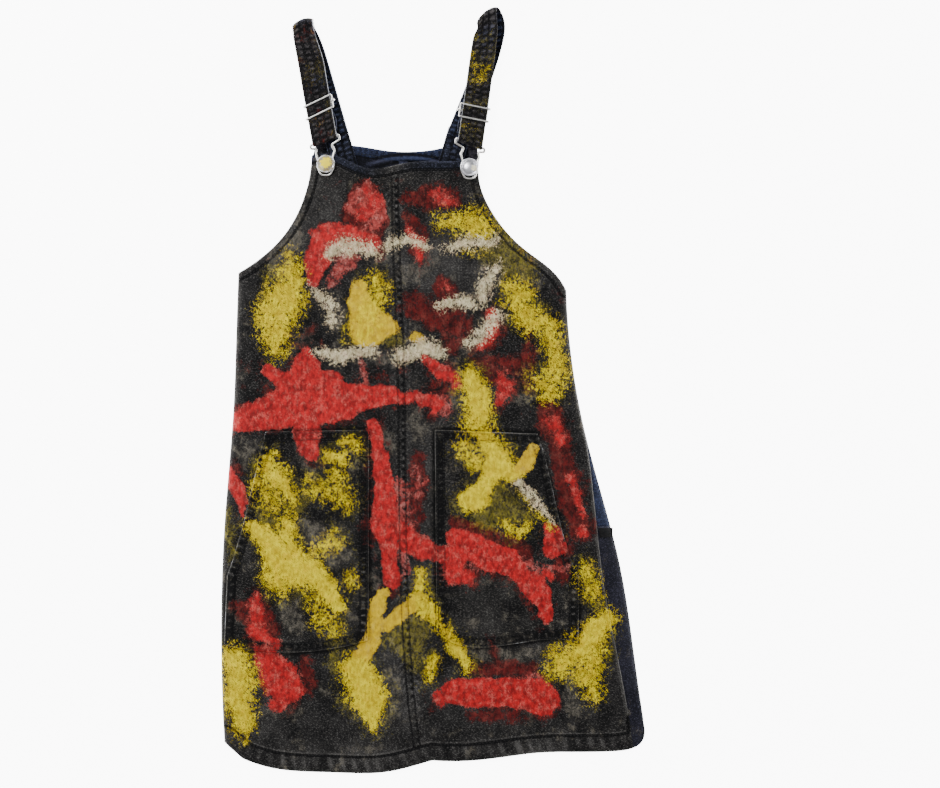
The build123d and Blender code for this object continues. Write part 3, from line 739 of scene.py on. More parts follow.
def denim(name, dark, light, navy_dark, navy_light, twill=1.25, turn=0.0, grit=1.0):
    """Faded twill with paint: reads the rest, cloth and paint attributes."""
    g = Graph(name)
    rest = g.rest()
    x, y, _ = g.split(rest)
    wear, navy, fade, shade = g.channels("cloth")
    slant = math.radians(turn - 33)
    across = x * math.cos(slant) + y * math.sin(slant) + g.noise(rest, 0.22, 2.0) * 1.6
    wale = (across * (2 * math.pi / twill)).by("SINE") * 0.5 + 0.5
    yarn = g.noise(rest, 1.0, 2.0, 0.6, (1.9, 0.9, 1.0))
    pick = g.noise(rest, 0.95, 3.0, 0.75, (0.8, 1.3, 1.0))
    weave = wale * 0.34 + yarn * 0.3 + pick * 0.46
    slub = g.noise(rest, 1.0, 2.0, 0.6, (0.5, 0.06, 1.0))
    cloud = g.noise(rest, 0.045, 4.0, 0.62)
    salt = g.between(g.noise(rest, 0.62, 2.0, 0.7, (0.85, 1.15, 1.0)), 0.5, 0.66)
    pale = weave + slub * 0.16 + salt * 0.4 + cloud * 0.62 + fade * 0.42 + wear * 0.62 - shade * 0.7
    pale = g.between(pale, 1.0, 1.72, kind="LINEAR")
    base = g.mix(navy, g.mix(pale, dark, light), g.mix(pale, navy_dark, navy_light))
    base = g.mix(shade * 0.75, base, srgb(5, 5, 6))
    frayed = g.between((pick - 0.5) * 1.2 + wear, 1.0, 1.3)
    colour = g.mix(frayed, base, srgb(176, 178, 184))
    value = dict(zip(KINDS, g.channels("paint_a") + g.channels("paint_b")))
    bend = g.noise(rest, 0.09, 3.0, 0.6) - 0.5
    broad = g.noise(rest, 0.16, 4.0, 0.62) - 0.5
    speckle = (g.noise(rest, 0.46, 4.0, 0.76, (1.0, 0.8, 1.0)) - 0.5) * grit
    fine = g.noise(rest, 0.85, 3.0, 0.7, (1.0, 0.8, 1.0)) - 0.5
    smear = g.noise(rest, 1.0, 4.0, 0.65, (0.3, 0.16, 1.0)) - 0.5
    chalk = g.noise(rest, 1.0, 4.0, 0.68, (0.13, 0.1, 1.0))
    ragged = g.between(bend, -0.14, 0.14, 0.35, 1.35)
    scuffed = g.between(fine * 0.6 + chalk, 0.47, 0.74) * 0.56
    grain = weave - 0.55
    cover = None
    for kind, (thin, thick, dried, by_weave, by_broad, by_speckle, by_fine, start, soft, opaque) in PAINTS.items():
        level = value[kind] + broad * by_broad + speckle * ragged * by_speckle
        level = level + fine * by_fine + grain * by_weave
        # paint turns to its thinner, darker tone where painted shade lies
        depth = smear * 1.15 + level.by("MINIMUM", 0.8) + bend * 0.5 - shade * 0.4
        tone = g.mix(g.between(depth, 0.56, 1.06), thin, thick)
        tone = g.mix(scuffed, tone, dried)
        rim = g.between((level - (start + 0.12)).by("ABSOLUTE"), 0.07, 0.0)
        tone = g.mix(rim * ragged * 0.42, tone, dried)
        amount = g.between(level, start, start + soft) * g.between(value[kind], 0.02, 0.14) * opaque
        colour = g.mix(amount, colour, tone)
        if kind in THICK:
            cover = cover.by("MAXIMUM", amount) if cover else amount
    colour = g.mix(g.between(grain, -0.02, -0.2) * cover * 0.4, colour, dark)
    relief = (weave * 0.12 + yarn * 0.05) * (cover * -0.35 + 1.0) + cover * (smear * 0.22 + 0.12)
    g.set(Base_Color=colour, Roughness=cover * -0.26 + 0.9, Normal=g.bump(relief))
    return g.set(Specular_IOR_Level=0.16)


def thread(name, tone):
    g = Graph(name)
    for kind, level in zip(("red", "yellow", "white"), g.channels("paint_a")):
        tone = g.mix(g.between(level, 0.55, 0.8) * 0.7, tone, PAINTS[kind][0])
    return g.set(Base_Color=tone, Roughness=0.75)


def metal(name, tone, rough):
    g = Graph(name)
    place = g.place()
    spots = g.noise(place, 900.0, 3.0, 0.6)
    blotch = g.between(g.noise(place, 160.0, 2.0, 0.5), 0.4, 0.75)
    g.set(Base_Color=g.mix(blotch, tone, dimmed(tone, 0.72)), Roughness=spots * 0.25 + (rough - 0.1))
    return g.set(Metallic=1.0, Normal=g.bump(spots * 0.05))


def painted_cap(name, tone, spots):
    """Cap metal with dried paint: each spot is (colour, centre, reach) in metres."""
    g = Graph(name)
    place = g.place()
    grain, broad = g.noise(place, 700.0, 3.0, 0.6), g.noise(place, 420.0, 4.0, 0.7)
    colour = g.mix(g.between(broad, 0.35, 0.7), tone, dimmed(tone, 0.7))
    x, y, _ = g.split(place)
    cover = None
    for paint, (cx, cy), reach in spots:
        d = ((x - cx) * (x - cx) + (y - cy) * (y - cy)).by("SQRT")
        here = g.between(d / reach + (broad - 0.5) * 2.2, 1.05, 0.75)
        colour = g.mix(here, colour, paint)
        cover = cover.by("MAXIMUM", here) if cover else here
    g.set(Base_Color=colour, Roughness=cover * 0.3 + grain * 0.25 + 0.22, Metallic=cover * -1.0 + 1.0)
    return g.set(Normal=g.bump(grain * 0.05 + cover * 0.15))


M = {
    "front": denim("front_denim", srgb(5, 5, 6), srgb(92, 90, 88), srgb(6, 8, 15), srgb(62, 68, 90)),
    "pocket": denim("pocket_denim", srgb(4, 4, 5), srgb(90, 88, 85), srgb(6, 8, 15), srgb(62, 68, 90)),
    "inside": denim("inside_denim", srgb(6, 6, 9), srgb(66, 63, 72), srgb(6, 8, 18), srgb(54, 62, 90), turn=66.0),
    "strap": denim("strap_denim", srgb(6, 5, 6), srgb(84, 79, 76), srgb(5, 7, 15), srgb(66, 74, 100), grit=0.45),
    "tab": denim("tab_cotton", srgb(10, 10, 11), srgb(34, 34, 36), srgb(10, 10, 11), srgb(34, 34, 36), 0.7),
    "thread": thread("thread", srgb(13, 13, 14)),
    "wire": metal("wire", srgb(214, 212, 208), 0.3),
    "tack": metal("tack_metal", srgb(150, 146, 138), 0.4),
}


# ---- stitches ----
def threads(name, stations, ring, body, paint=None):
    """Short threads. Each station along them is (middles, across, up, radius)."""
    turn = 2 * math.pi * np.arange(ring)[:, None] / ring
    rings = [m[:, None] + r * (np.cos(turn) * a[:, None] + np.sin(turn) * up[:, None]) for m, a, up, r in stations]
    verts = np.stack(rings, 1)
    one, per = tube_faces(len(stations), ring), len(stations) * ring
    faces = [tuple(i + n * per for i in face) for n in range(len(verts)) for face in one]
    verts = verts.reshape(-1, 3)
    add_looks(mesh_object(name, verts, faces, M["thread"], body), in_cloth(verts), paint=paint)


def stitches(name, lines, surface, seed, paint=1.0):
    """Rows of short threads lying on a surface. Each line is points (x, y); surface gives z."""
    rng = np.random.default_rng(seed)
    starts, ends = [], []
    for line in lines:
        curve = Curve(line, 1.0)
        count = int(curve.length / STITCH_PITCH)
        s = (np.arange(count) + 0.5) * (curve.length / max(count, 1)) + rng.uniform(-0.15, 0.15, count)
        for group, shift in ((starts, -STITCH / 2), (ends, STITCH / 2)):
            group.append(at_run(np.clip(s + shift, 0, curve.length), curve.s, curve.p))
    a, b = np.vstack(starts), np.vstack(ends)
    across = np.column_stack([left_of(unit(b - a)), np.zeros(len(a))])
    up = np.broadcast_to((0.0, 0.0, 1.0), across.shape)
    stations = []
    for t, fat, lift in ((0, 0.35, -0.22), (0.12, 0.9, 0.04), (0.5, 1, 0.04), (0.88, 0.9, 0.04), (1, 0.35, -0.22)):
        p = a + (b - a) * t
        stations.append((np.column_stack([p, surface(*p.T) + lift]), across, up, STITCH_RADIUS * fat))
    threads(name, stations, 6, "garment", paint)


def inset(line, distance, trim_start, trim_end):
    """A row of stitches inside a side of an outline, cut short at its corners."""
    run = Curve(offset(resample(line, 2), distance), 0.5)
    return at_run(np.arange(trim_start, run.length - trim_end, 1.0), run.s, run.p)


# ---- pieces of cloth ----
class Layer:
    """Triangles that pieces of cloth are cut from, and how far their rims stand out."""

    def __init__(self, points, tris, rims):
        self.p, self.t, self.rims = points, tris, rims
        self.mid = points[tris].mean(1)


def declare(obj, area, width=None):
    """Works out a piece's flat size as a sheet: a strip of a given width, or a shape cut from its own rectangle. The
    size is not kept.
    """
    if width:
        flat = (max(width * MM, LEAST_CUT), max(area / (width * MM), LEAST_CUT))
    else:
        co = np.array([v.co[:2] for v in obj.data.vertices])
        turns = [(math.cos(a), math.sin(a)) for a in np.radians(np.arange(0, 90, 3))]
        boxes = [np.ptp(co @ np.array([[c, -d], [d, c]]), axis=0) for c, d in turns]
        flat = tuple(min(boxes, key=lambda box: box[0] * box[1]))
    min(area, flat[0] * flat[1])


def half_skin(obj):
    """The area of one face of a thin closed piece."""
    return sum(f.area for f in obj.data.polygons) / 2


def cloth_piece(
    name, layer, keep, z, thick, material, wear, navy=0.0, fade=0.0, seed=0.0,
    painted=True, shade=0.0, rims=None, width=None,
):
    """The part of a layer in keep, standing for the CAD node of the same name."""
    used, back = np.unique(layer.t[keep], return_inverse=True)
    t, p = back.reshape(-1, 3), layer.p[used]
    rims = layer.rims[used] if rims is None else np.full(len(p), rims)
    verts, faces, source = sheet_mesh(p, t, z[used], thick, rims)
    obj = mesh_object(name, verts, faces, M[material], "garment")
    looks = [np.broadcast_to(np.asarray(v, float), (len(layer.p),))[used][source] for v in (wear, navy, fade, shade)]
    above = np.ones(len(source))
    above[len(p) : 2 * len(p)] = 0
    add_looks(obj, in_cloth(verts, seed), *looks, above if painted else None)
    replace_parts(obj, name)
    a, b, c = (p[t[:, k]] for k in range(3))
    plan = np.abs((left_of(b - a) * (c - a)).sum(1)).sum() / 2
    declare(obj, plan * MM * MM, width)


# ---- front ----
front_outline, back_outline = (
    np.vstack([line[:-1] for line in (hem_edge, right_edge, right_arm, neck, left_arm, left_edge)])
    for neck in (neck_front, neck_back)
)


def near_front_detail(x, y):
    reach = {name: hem[0] + 3 for name, hem in HEMS.items()}
    reach |= {"centre": 9, "seam_right": 9, "left": 4, "right": 4}
    e = front_edges(x, y)
    return np.any([e[name][0] < reach[name] for name in reach], axis=0)


front_lines = [seam_a, seam_b, centre_line, seam_right, facing_end[[0, -1]]]
P, T = triangulate(front_outline, front_lines, near_front_detail)
x, y = P.T
at_edge = front_edges(x, y)
outer = highest(*(-at_edge[k][0] for k in ("hem", "right", "arm_right", "neck", "arm_left", "left")))
front = Layer(P, T, np.where(outer > -0.4, 0.3, 0.0))
top, wear, groove_shade = front_height(x, y)
on_left = C["centre"].find(*front.mid.T)[2] > 0
seam_d, _, seam_side = C["seam_right"].find(*front.mid.T)
below_wrap = front.mid[:, 1] < seam_right[:, 1].max()
in_wrap = (seam_side < 0) & below_wrap
facing_y = facing_end[:, 1].mean()
fade = 0.4 * smooth(bumps(x, y, 60, 81), -0.2, 0.8)
# a painted shadow along each pocket's outline joins the painted shade of the stitching grooves
for side_name in SIDES:
    loop = top_loop(f"pocket_{side_name}")
    from_pocket = Curve(np.vstack([loop, loop[:1]])).find(x, y)[0]
    groove_shade = np.maximum(groove_shade, 0.75 * bell(from_pocket, 2.4))
navy_top = 0.85 * (1 - smooth(at_edge["neck"][0], 6.0, 10.5)) * (1 - bell(x + 42, 22))
for name, keep in zip(FRONT, (on_left & ~in_wrap, ~on_left & ~in_wrap)):
    cloth_piece(name, front, keep, top, PLY, "front", wear, navy_top, fade, 3, shade=groove_shade)
wrap_low = (front.mid[:, 1] < facing_y) & in_wrap
wrap_z = top - 0.35 * np.exp(-at_edge["seam_right"][0] / 3.0)
wrap_wear = np.clip(0.12 + 0.8 * np.exp(-np.abs(y - facing_y + 0.8) / 0.9), 0, 1)
cloth_piece("back_panel_fold_right", front, wrap_low, wrap_z, PLY, "inside", wrap_wear, 0.3, 0.05, 5)
cloth_piece(
    "side_facing_right", front, in_wrap & ~wrap_low, wrap_z, PLY, "inside", 0.3, 1.0, 0.2, 6, False, width=10.0
)

# turned edges under the front layer
for name, edge in (
    ("front_hem", "hem"),
    ("front_neck_band", "neck"),
    ("front_armhole_hem_left", "arm_left"),
    ("front_armhole_hem_right", "arm_right"),
):
    keep = (far(edge, front.mid) < HEMS[edge][0]) & ~in_wrap
    cloth_piece(
        name, front, keep, top - PLY - UNDER, TURN, "inside", 0.2, 0.4, 0.1, 8, False,
        width=HEMS[edge][0],
    )

# felled seams on the front
d, s, which = at_edge["centre"]
rungs = pucker(s, 41, 7.5)
stitch_dip = bell(d - 3.3, 0.6)
rung_row = bell(d + which * 1.6, 2.3) * smooth(-which * d, -1.5, 2.0)
ridge = np.clip(1 - (d / SEAM_HALF) ** 6, 0, 1) ** 0.5
seam_z = top + 0.1 + ridge * (0.75 + 0.34 * rungs * rung_row) - 0.22 * stitch_dip
broken = 0.5 + 0.5 * along(s, 13, 47)
seam_wear = 0.1 + 0.8 * rung_row * smooth(rungs, -0.1, 0.7) * broken + 0.45 * smooth(d, 3.9, 4.4) * broken
seam_shade = np.maximum(stitch_dip * np.where(which > 0, 1.0, 0.7), 0.85 * rung_row * smooth(rungs, 0.1, -0.7))
cloth_piece(
    "centre_front_seam", front, inside(front.mid, top_loop("centre_front_seam")), seam_z, 0.9, "front",
    seam_wear, 0, fade, 3, shade=seam_shade, width=2 * SEAM_HALF,
)
keep = (seam_d < RIDGE) & (seam_side > 0) & below_wrap & (far("hem", front.mid) > BOTTOM_HEM - 1)
d = at_edge["seam_right"][0]
ridge_z = top + 0.1 + 0.8 * np.clip(1 - (np.abs(d - 1.7) / 1.9) ** 4, 0, 1)
ridge_wear = 0.3 + 0.7 * smooth(0.9 - d, 0, 0.8)
cloth_piece(
    "side_seam_right", front, keep, ridge_z, 0.8, "front", ridge_wear, 0, fade, 3,
    width=RIDGE,
)


# ---- pockets ----
EDGE_ROW, INNER_ROW, SLANT_ROW = 1.7, 8.4, 7.4  # how far in the rows of stitches lie


def corners_of(loop, angle):
    """The sides of a closed outline, split at its sharp corners."""
    before, after = loop - np.roll(loop, 1, 0), np.roll(loop, -1, 0) - loop
    turn = np.degrees(np.arctan2((left_of(before) * after).sum(1), (before * after).sum(1)))
    marks = np.flatnonzero(np.abs(turn) > angle)
    return [loop[np.arange(a, b + 1) % len(loop)] for a, b in zip(marks, [*marks[1:], marks[0] + len(loop)])]


def pocket(side_name, top_out, slant_low):
    body_run = (slant_low, top_out) if side_name == "left" else (top_out, slant_low)
    sewn = side(f"pocket_{side_name}", *body_run)
    slant = side(f"pocket_opening_hem_{side_name}", *body_run[::-1])
    loop = np.vstack([sewn[:-1], slant[:-1]])
    sewn_curve, slant_curve = Curve(sewn), Curve(slant)

    def near(x, y):
        return (sewn_curve.find(x, y)[0] < 10.5) | (slant_curve.find(x, y)[0] < 9.5)

    def height(x, y):
        """Top of the pocket, how worn the cloth is there, and how shaded."""
        a, sa, _ = sewn_curve.find(x, y)
        b, sb, _ = slant_curve.find(x, y)
        z = front_height(x, y, False)[0] + PLY + 0.12
        z += 1.9 * smooth(a, 2, 48) + 1.3 * np.exp(-b / 16) * smooth(a, 0, 34)
        z += 0.5 * smooth(a, 6, 40) * bumps(x, y, 31, 51) + 0.12 * bumps(x, y, 11, 52)
        wear, dark = np.zeros_like(z), np.zeros_like(z)
        for d, run, first, last, reach, seed in (
            (a, sa, EDGE_ROW, INNER_ROW, 8.6, 53),
            (b, sb, 0.2, SLANT_ROW, 8.0, 54),
        ):
            rung = pucker(run, seed, 7.2)
            between = bell(d - (first + last) / 2, 2.7)
            broken = 0.45 + 0.55 * along(run, 19, seed + 4)
            z += 0.5 * (1 - smooth(d, reach, reach + 1.2)) + 0.4 * rung * between
            wear = np.maximum(wear, between * 0.95 * smooth(rung, 0.0, 0.8) * broken)
            # painted shade in the troughs of the ripple across the hem
            dark = highest(
                dark, between * 0.8 * smooth(rung, 0.3, -0.5) * (0.5 + 0.5 * broken),
                0.4 * (1 - smooth(rung, -0.2, 0.6)) * (1 - smooth(d, reach, reach + 1.5)),
            )
            # each inner row of stitching sinks into a groove with painted shade along it
            for row in (first, last):
                if row > 1:
                    z -= 0.32 * bell(d - row, 0.75)
                    dark = np.maximum(dark, 0.8 * bell(d - row, 0.75))
        edge = np.exp(-a / 0.7)
        wear = highest(
            wear * (1 - 0.8 * dark), 1.25 * np.exp(-b / 0.75) * (0.75 + 0.25 * along(sb, 9, 55)),
            edge * (0.75 + 0.45 * along(sa, 23, 59)),
        )
        return z, np.clip(wear, 0, 1.4), np.clip(dark * (1 - 0.9 * edge), 0, 1)

    p, t = triangulate(loop, [], near)
    layer = Layer(p, t, np.full(len(p), 0.3))
    z, wear, dark = height(*p.T)
    pale = 0.3 * smooth(bumps(*p.T, 50, 82), -0.2, 0.8)
    every = np.ones(len(t), bool)
    cloth_piece(
        f"pocket_{side_name}", layer, every, z, PLY, "pocket", wear, 0, pale, 3, shade=dark
    )
    from_sewn, from_slant = (curve.find(*layer.mid.T)[0] for curve in (sewn_curve, slant_curve))
    cloth_piece(
        f"pocket_opening_hem_{side_name}", layer, (from_slant < SLANT_ROW + 1) & (from_sewn > 1.5),
        z - PLY - UNDER, 0.9, "inside", 0.2, 0.3, 0.1, 9, False, width=SLANT_ROW + 1,
    )
    rows = []
    for line in corners_of(loop, 35):
        if np.hypot(*(line[0] - slant[0])) >= 1 and lengths(line)[-1] >= 25:
            rows += [inset(line, row, row, row) for row in (EDGE_ROW, INNER_ROW)]
    rows.append(inset(slant, SLANT_ROW, 2, 2))
    stitches(f"pocket_stitches_{side_name}", rows, lambda x, y: height(x, y)[0], 91)


pocket("left", (-167, -40.5), (-206, -184.5))
pocket("right", (104.5, -42.5), (146, -186.5))
hem_rows = [
    inset(line, HEMS[edge][1], *trims)
    for line, edge, trims in (
        (hem_edge, "hem", (5, 5)), (neck_front, "neck", (4, 4)), (left_arm, "arm_left", (9, 1)),
        (right_arm, "arm_right", (1, 9)),
    )
]
stitches("front_stitches", hem_rows, front_top, 92)
seam_rows = [inset(centre_line, 3.3, 2, 0), inset(centre_line, -3.3, 2, 0)]
stitches("seam_stitches", seam_rows, lambda x, y: front_top(x, y) + 0.62, 93)
stitches("side_stitches", [inset(seam_right, 5.2, 2, 2)], front_top, 94)


# ---- back ----
BACK_MIDDLE = -26  # where the middle of the back neck is, across


def back_height(x, y):
    hill = bell(x - BACK_MIDDLE, 27) * smooth(y, 196, 232)
    return 1.2 + 4.2 * hill + 0.25 * smooth(y, 180, 220) * bumps(x, y, 22, 56)


def near_back_detail(x, y):
    reach = {"neck_back": 26, "hem": 3, "left": 2, "right": 2}
    return np.any([C[name].find(x, y)[0] < reach[name] for name in reach], axis=0)


P, T = triangulate(back_outline, [], near_back_detail, 1.6, 4.8)
x, y = P.T
neck_d, neck_s, _ = C["neck_back"].find(x, y)
back = Layer(P, T, np.where(neck_d < 0.4, 0.3, 0.0))
seam_sides = sorted(corners_of(top_loop("centre_back_seam"), 60), key=lambda line: -lengths(line)[-1])[:2]
seam_sides = [line if line[-1][1] > line[0][1] else line[::-1] for line in seam_sides]
C["centre_back"] = Curve((even(seam_sides[0], CENTRE_POINTS) + even(seam_sides[1], CENTRE_POINTS)) / 2)
seam_d, _, seam_side = C["centre_back"].find(*back.mid.T)

# an arched fold under the neck, with a painted highlight along its crest, and the painted shadows beside it
arch_at = 6.0 + 8.0 * ((x - BACK_MIDDLE) / 34) ** 2
arch_reach = 1 - smooth(np.abs(x - BACK_MIDDLE), 30, 48)
arch = arch_reach * bell(neck_d - arch_at, 1.8)
beside_arch = np.clip(bell(neck_d - arch_at - 4.2, 1.7) + bell(neck_d - arch_at + 3.4, 1.2), 0, 1)
beside_arch = 0.75 * arch_reach * beside_arch
back_z = back_height(x, y) + 0.8 * arch
neck_shadow = highest(
    0.5 * smooth(np.abs(x + 24), 13, 27) * smooth(neck_d, 6, 10) * (1 - arch), beside_arch,
    0.8 * bell(neck_d - 9.8, 1.0) * (1 - arch),
)
# the back panels take the arch's painted highlight as paler cloth, and the painted neck shadow as their shade
for name, keep in zip(BACK, (seam_side > 0, seam_side < 0)):
    cloth_piece(
        name, back, keep, back_z, BACK_PLY, "inside", 0.2 + 0.6 * arch, 0.5, 0.5, 12, False, neck_shadow
    )
ripple = pucker(neck_s, 57, 6.0) * bell(neck_d - 4, 3)
# the bands are worn along their edges and ripples, and take the arch's painted highlight
band_wear_and_highlight = np.clip(0.25 + 0.5 * np.exp(-neck_d) + 0.35 * ripple + 0.6 * arch, 0, 1)
band_navy = smooth(np.minimum(neck_s, C["neck_back"].length - neck_s), 22, 36)
for name, edge, width in (
    ("back_neck_band", "neck_back", NECK_HEM),
    ("back_armhole_hem_left", "arm_left", HEMS["arm_left"][0]),
    ("back_armhole_hem_right", "arm_right", HEMS["arm_right"][0]),
    ("back_hem", "hem", BOTTOM_HEM),
):
    cloth_piece(
        name, back, far(edge, back.mid) < width, back_z + 0.95 + 0.2 * ripple, 0.9, "inside", band_wear_and_highlight,
        band_navy, 0.1, 13, False, beside_arch, 0.2, width,
    )
keep = (seam_d < SEAM_HALF) & (far("hem", back.mid) > BOTTOM_HEM) & (far("neck_back", back.mid) > NECK_HEM)
cloth_piece(
    "centre_back_seam", back, keep, back_z + 0.75, 0.7, "inside", 0.4, 0.6, 0.2, 12, False,
    rims=0.2, width=2 * SEAM_HALF,
)
stitches("back_neck_stitches", [inset(neck_back, 7.4, 4, 4)], lambda x, y: back_height(x, y) + 1.0, 95, None)


def edge_fold(name, line):
    """The rounded fold that joins front and back layers along a side."""
    p = resample(line, 2.0)
    radius = FOLD_TOP / 2
    angles = np.radians(np.linspace(-90, 90, 9))
    profile = [(-0.75 * math.cos(a), radius + radius * math.sin(a)) for a in angles]
    profile += [(0.5, radius * 1.85), (0.5, radius * 0.15)]
    rings = [np.column_stack([offset(p, reach), np.full(len(p), z)]) for reach, z in profile]
    verts = np.stack(rings, 1).reshape(-1, 3)
    obj = mesh_object(name, verts, tube_faces(len(p), len(rings)), M["front"], "garment")
    add_looks(obj, in_cloth(verts, 3), 0.35 + 0.3 * bumps(*verts.T[:2], 6, 58), 0.3, 0.2, paint=1.0)
    if name in frame["nodes"]:
        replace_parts(obj, name)
    declare(obj, half_skin(obj), 3.2)


edge_fold("side_seam_left", left_edge)
edge_fold("side_fold_right", right_edge)


# ---- straps ----
STRAP_T = 1.5
ROWS = (-10.9, -3.7, 3.7, 10.9)  # the rows of stitches across a strap
STUB = 4.6  # length of the strap's turn under the hook bar
BAR_CLEAR = 2.2  # the back run stops this far short of the hook bar
WRAP = 1.65  # radius of the strap's turn round the slider's centre bar
ANCHOR_LAP = 7.0  # length of the sewn end that lies under the back run
ANCHOR_DROP = 1.85  # how far the middle of the sewn end lies below the middle of the back run


def ribbon(name, path, inner, body, seed, navy, paint=None, thick=STRAP_T, columns=23, fray=(0.5, 0.5)):
    """A flat strap with rounded edges, rows of stitching and puckers.

    path is (outer edge, inner edge, z, crown), where crown moves the middle of the strap and fades
    towards its edges. inner is 1 where the inner edge is on the right. fray is how pale its outer
    and inner edges are.
    """
    left, right = [np.array([[*step[k], step[2]] for step in path], float) for k in (0, 1)][::inner]
    crown = np.array([[*(*step, (0.0, 0.0))[3], 0.0] for step in path])
    middle = (left + right) / 2
    v = lengths(middle)
    width = np.sqrt(((right - left) ** 2).sum(1))
    across = unit(right - left)
    normal = unit(np.cross(across, unit(np.gradient(middle, axis=0))))
    u = np.linspace(-1, 1, columns)
    um = u[None, :] * (width / 2)[:, None]
    vm = np.repeat(v[:, None], columns, 1)
    ripple, worn, dark = np.zeros_like(um), np.zeros_like(um), np.zeros_like(um)
    for k, (a, b) in enumerate(zip(ROWS, ROWS[1:])):
        column = np.exp(-(((um - (a + b) / 2) / ((b - a) / 2 * 0.8)) ** 4))
        wave = pucker(v + seed, 100 + seed + k, 5.6)[:, None]
        chance = 0.5 + 0.5 * along(v, 6.5, 105 + seed, 11.0 * k)[:, None]
        ripple += 0.24 * wave * column
        worn = np.maximum(worn, column * smooth(wave, 0.0, 0.8) * (0.2 + 0.8 * chance))
        # painted shade in the troughs of the puckers
        dark = np.maximum(dark, column * 0.6 * smooth(wave, 0.1, -0.6) * (1.1 - chance))
    # each row of stitching sinks in, loses its wear and takes painted shade
    for row in ROWS:
        line = bell(um - row, 0.7)
        ripple -= 0.2 * line
        worn *= 1 - 0.8 * line
        dark = np.maximum(dark, 0.85 * line)
    edge = (width / 2)[:, None] - np.abs(um)
    worn = np.maximum(worn, np.where(um < 0, *fray[::inner]) * np.exp(-edge / 0.8))
    dark *= smooth(edge, 0.3, 1.2)
    half = thick / 2 * np.sqrt(np.clip(1 - np.clip(1 - edge / 0.9, 0, 1) ** 2 * 0.8, 0, 1))
    spine = middle[:, None] + across[:, None] * um[..., None] + crown[:, None] * (1 - u**2)[None, :, None]
    upper = spine + normal[:, None] * (half + ripple)[..., None]
    lower = spine - normal[:, None] * (half - 0.4 * ripple)[..., None]
    verts = np.concatenate([upper, lower[:, ::-1]], 1).reshape(-1, 3)
    obj = mesh_object(name, verts, tube_faces(len(v), 2 * columns), M["strap"], body)
    both = lambda a: np.concatenate([a, a[:, ::-1]], 1).ravel()
    rest = np.column_stack([both(um), both(vm), np.full(len(verts), seed * 9.0)])
    face = np.concatenate([np.ones_like(um), np.zeros_like(um)], 1).ravel()
    if callable(navy):
        navy = navy(*rest.T[:2])
    add_looks(obj, rest, both(worn), navy, 0.15, both(dark), paint and paint(*rest.T[:2], face))
    return obj, (middle, across, normal, v)


def ribbon_stitches(name, lines, body, seed):
    """Rows of thread on a ribbon's outer face."""
    *lines, v = lines
    rng = np.random.default_rng(seed)
    s = np.arange(2.0, v[-1] - 2.0, 3.2)
    q = np.concatenate([s + rng.uniform(-0.2, 0.2, len(s)) for _ in ROWS])
    row = np.repeat(ROWS, len(s))[:, None]
    stations = []
    for step, radius, sink in ((-1.2, 0.1, 0.24), (-0.8, 0.25, 0.12), (0.8, 0.25, 0.12), (1.2, 0.1, 0.24)):
        middle, across, up = (at_run(q + step, v, line) for line in lines)
        stations.append((middle + across * row + up * (STRAP_T / 2 - sink), across, up, radius))
    threads(name, stations, 5, body)


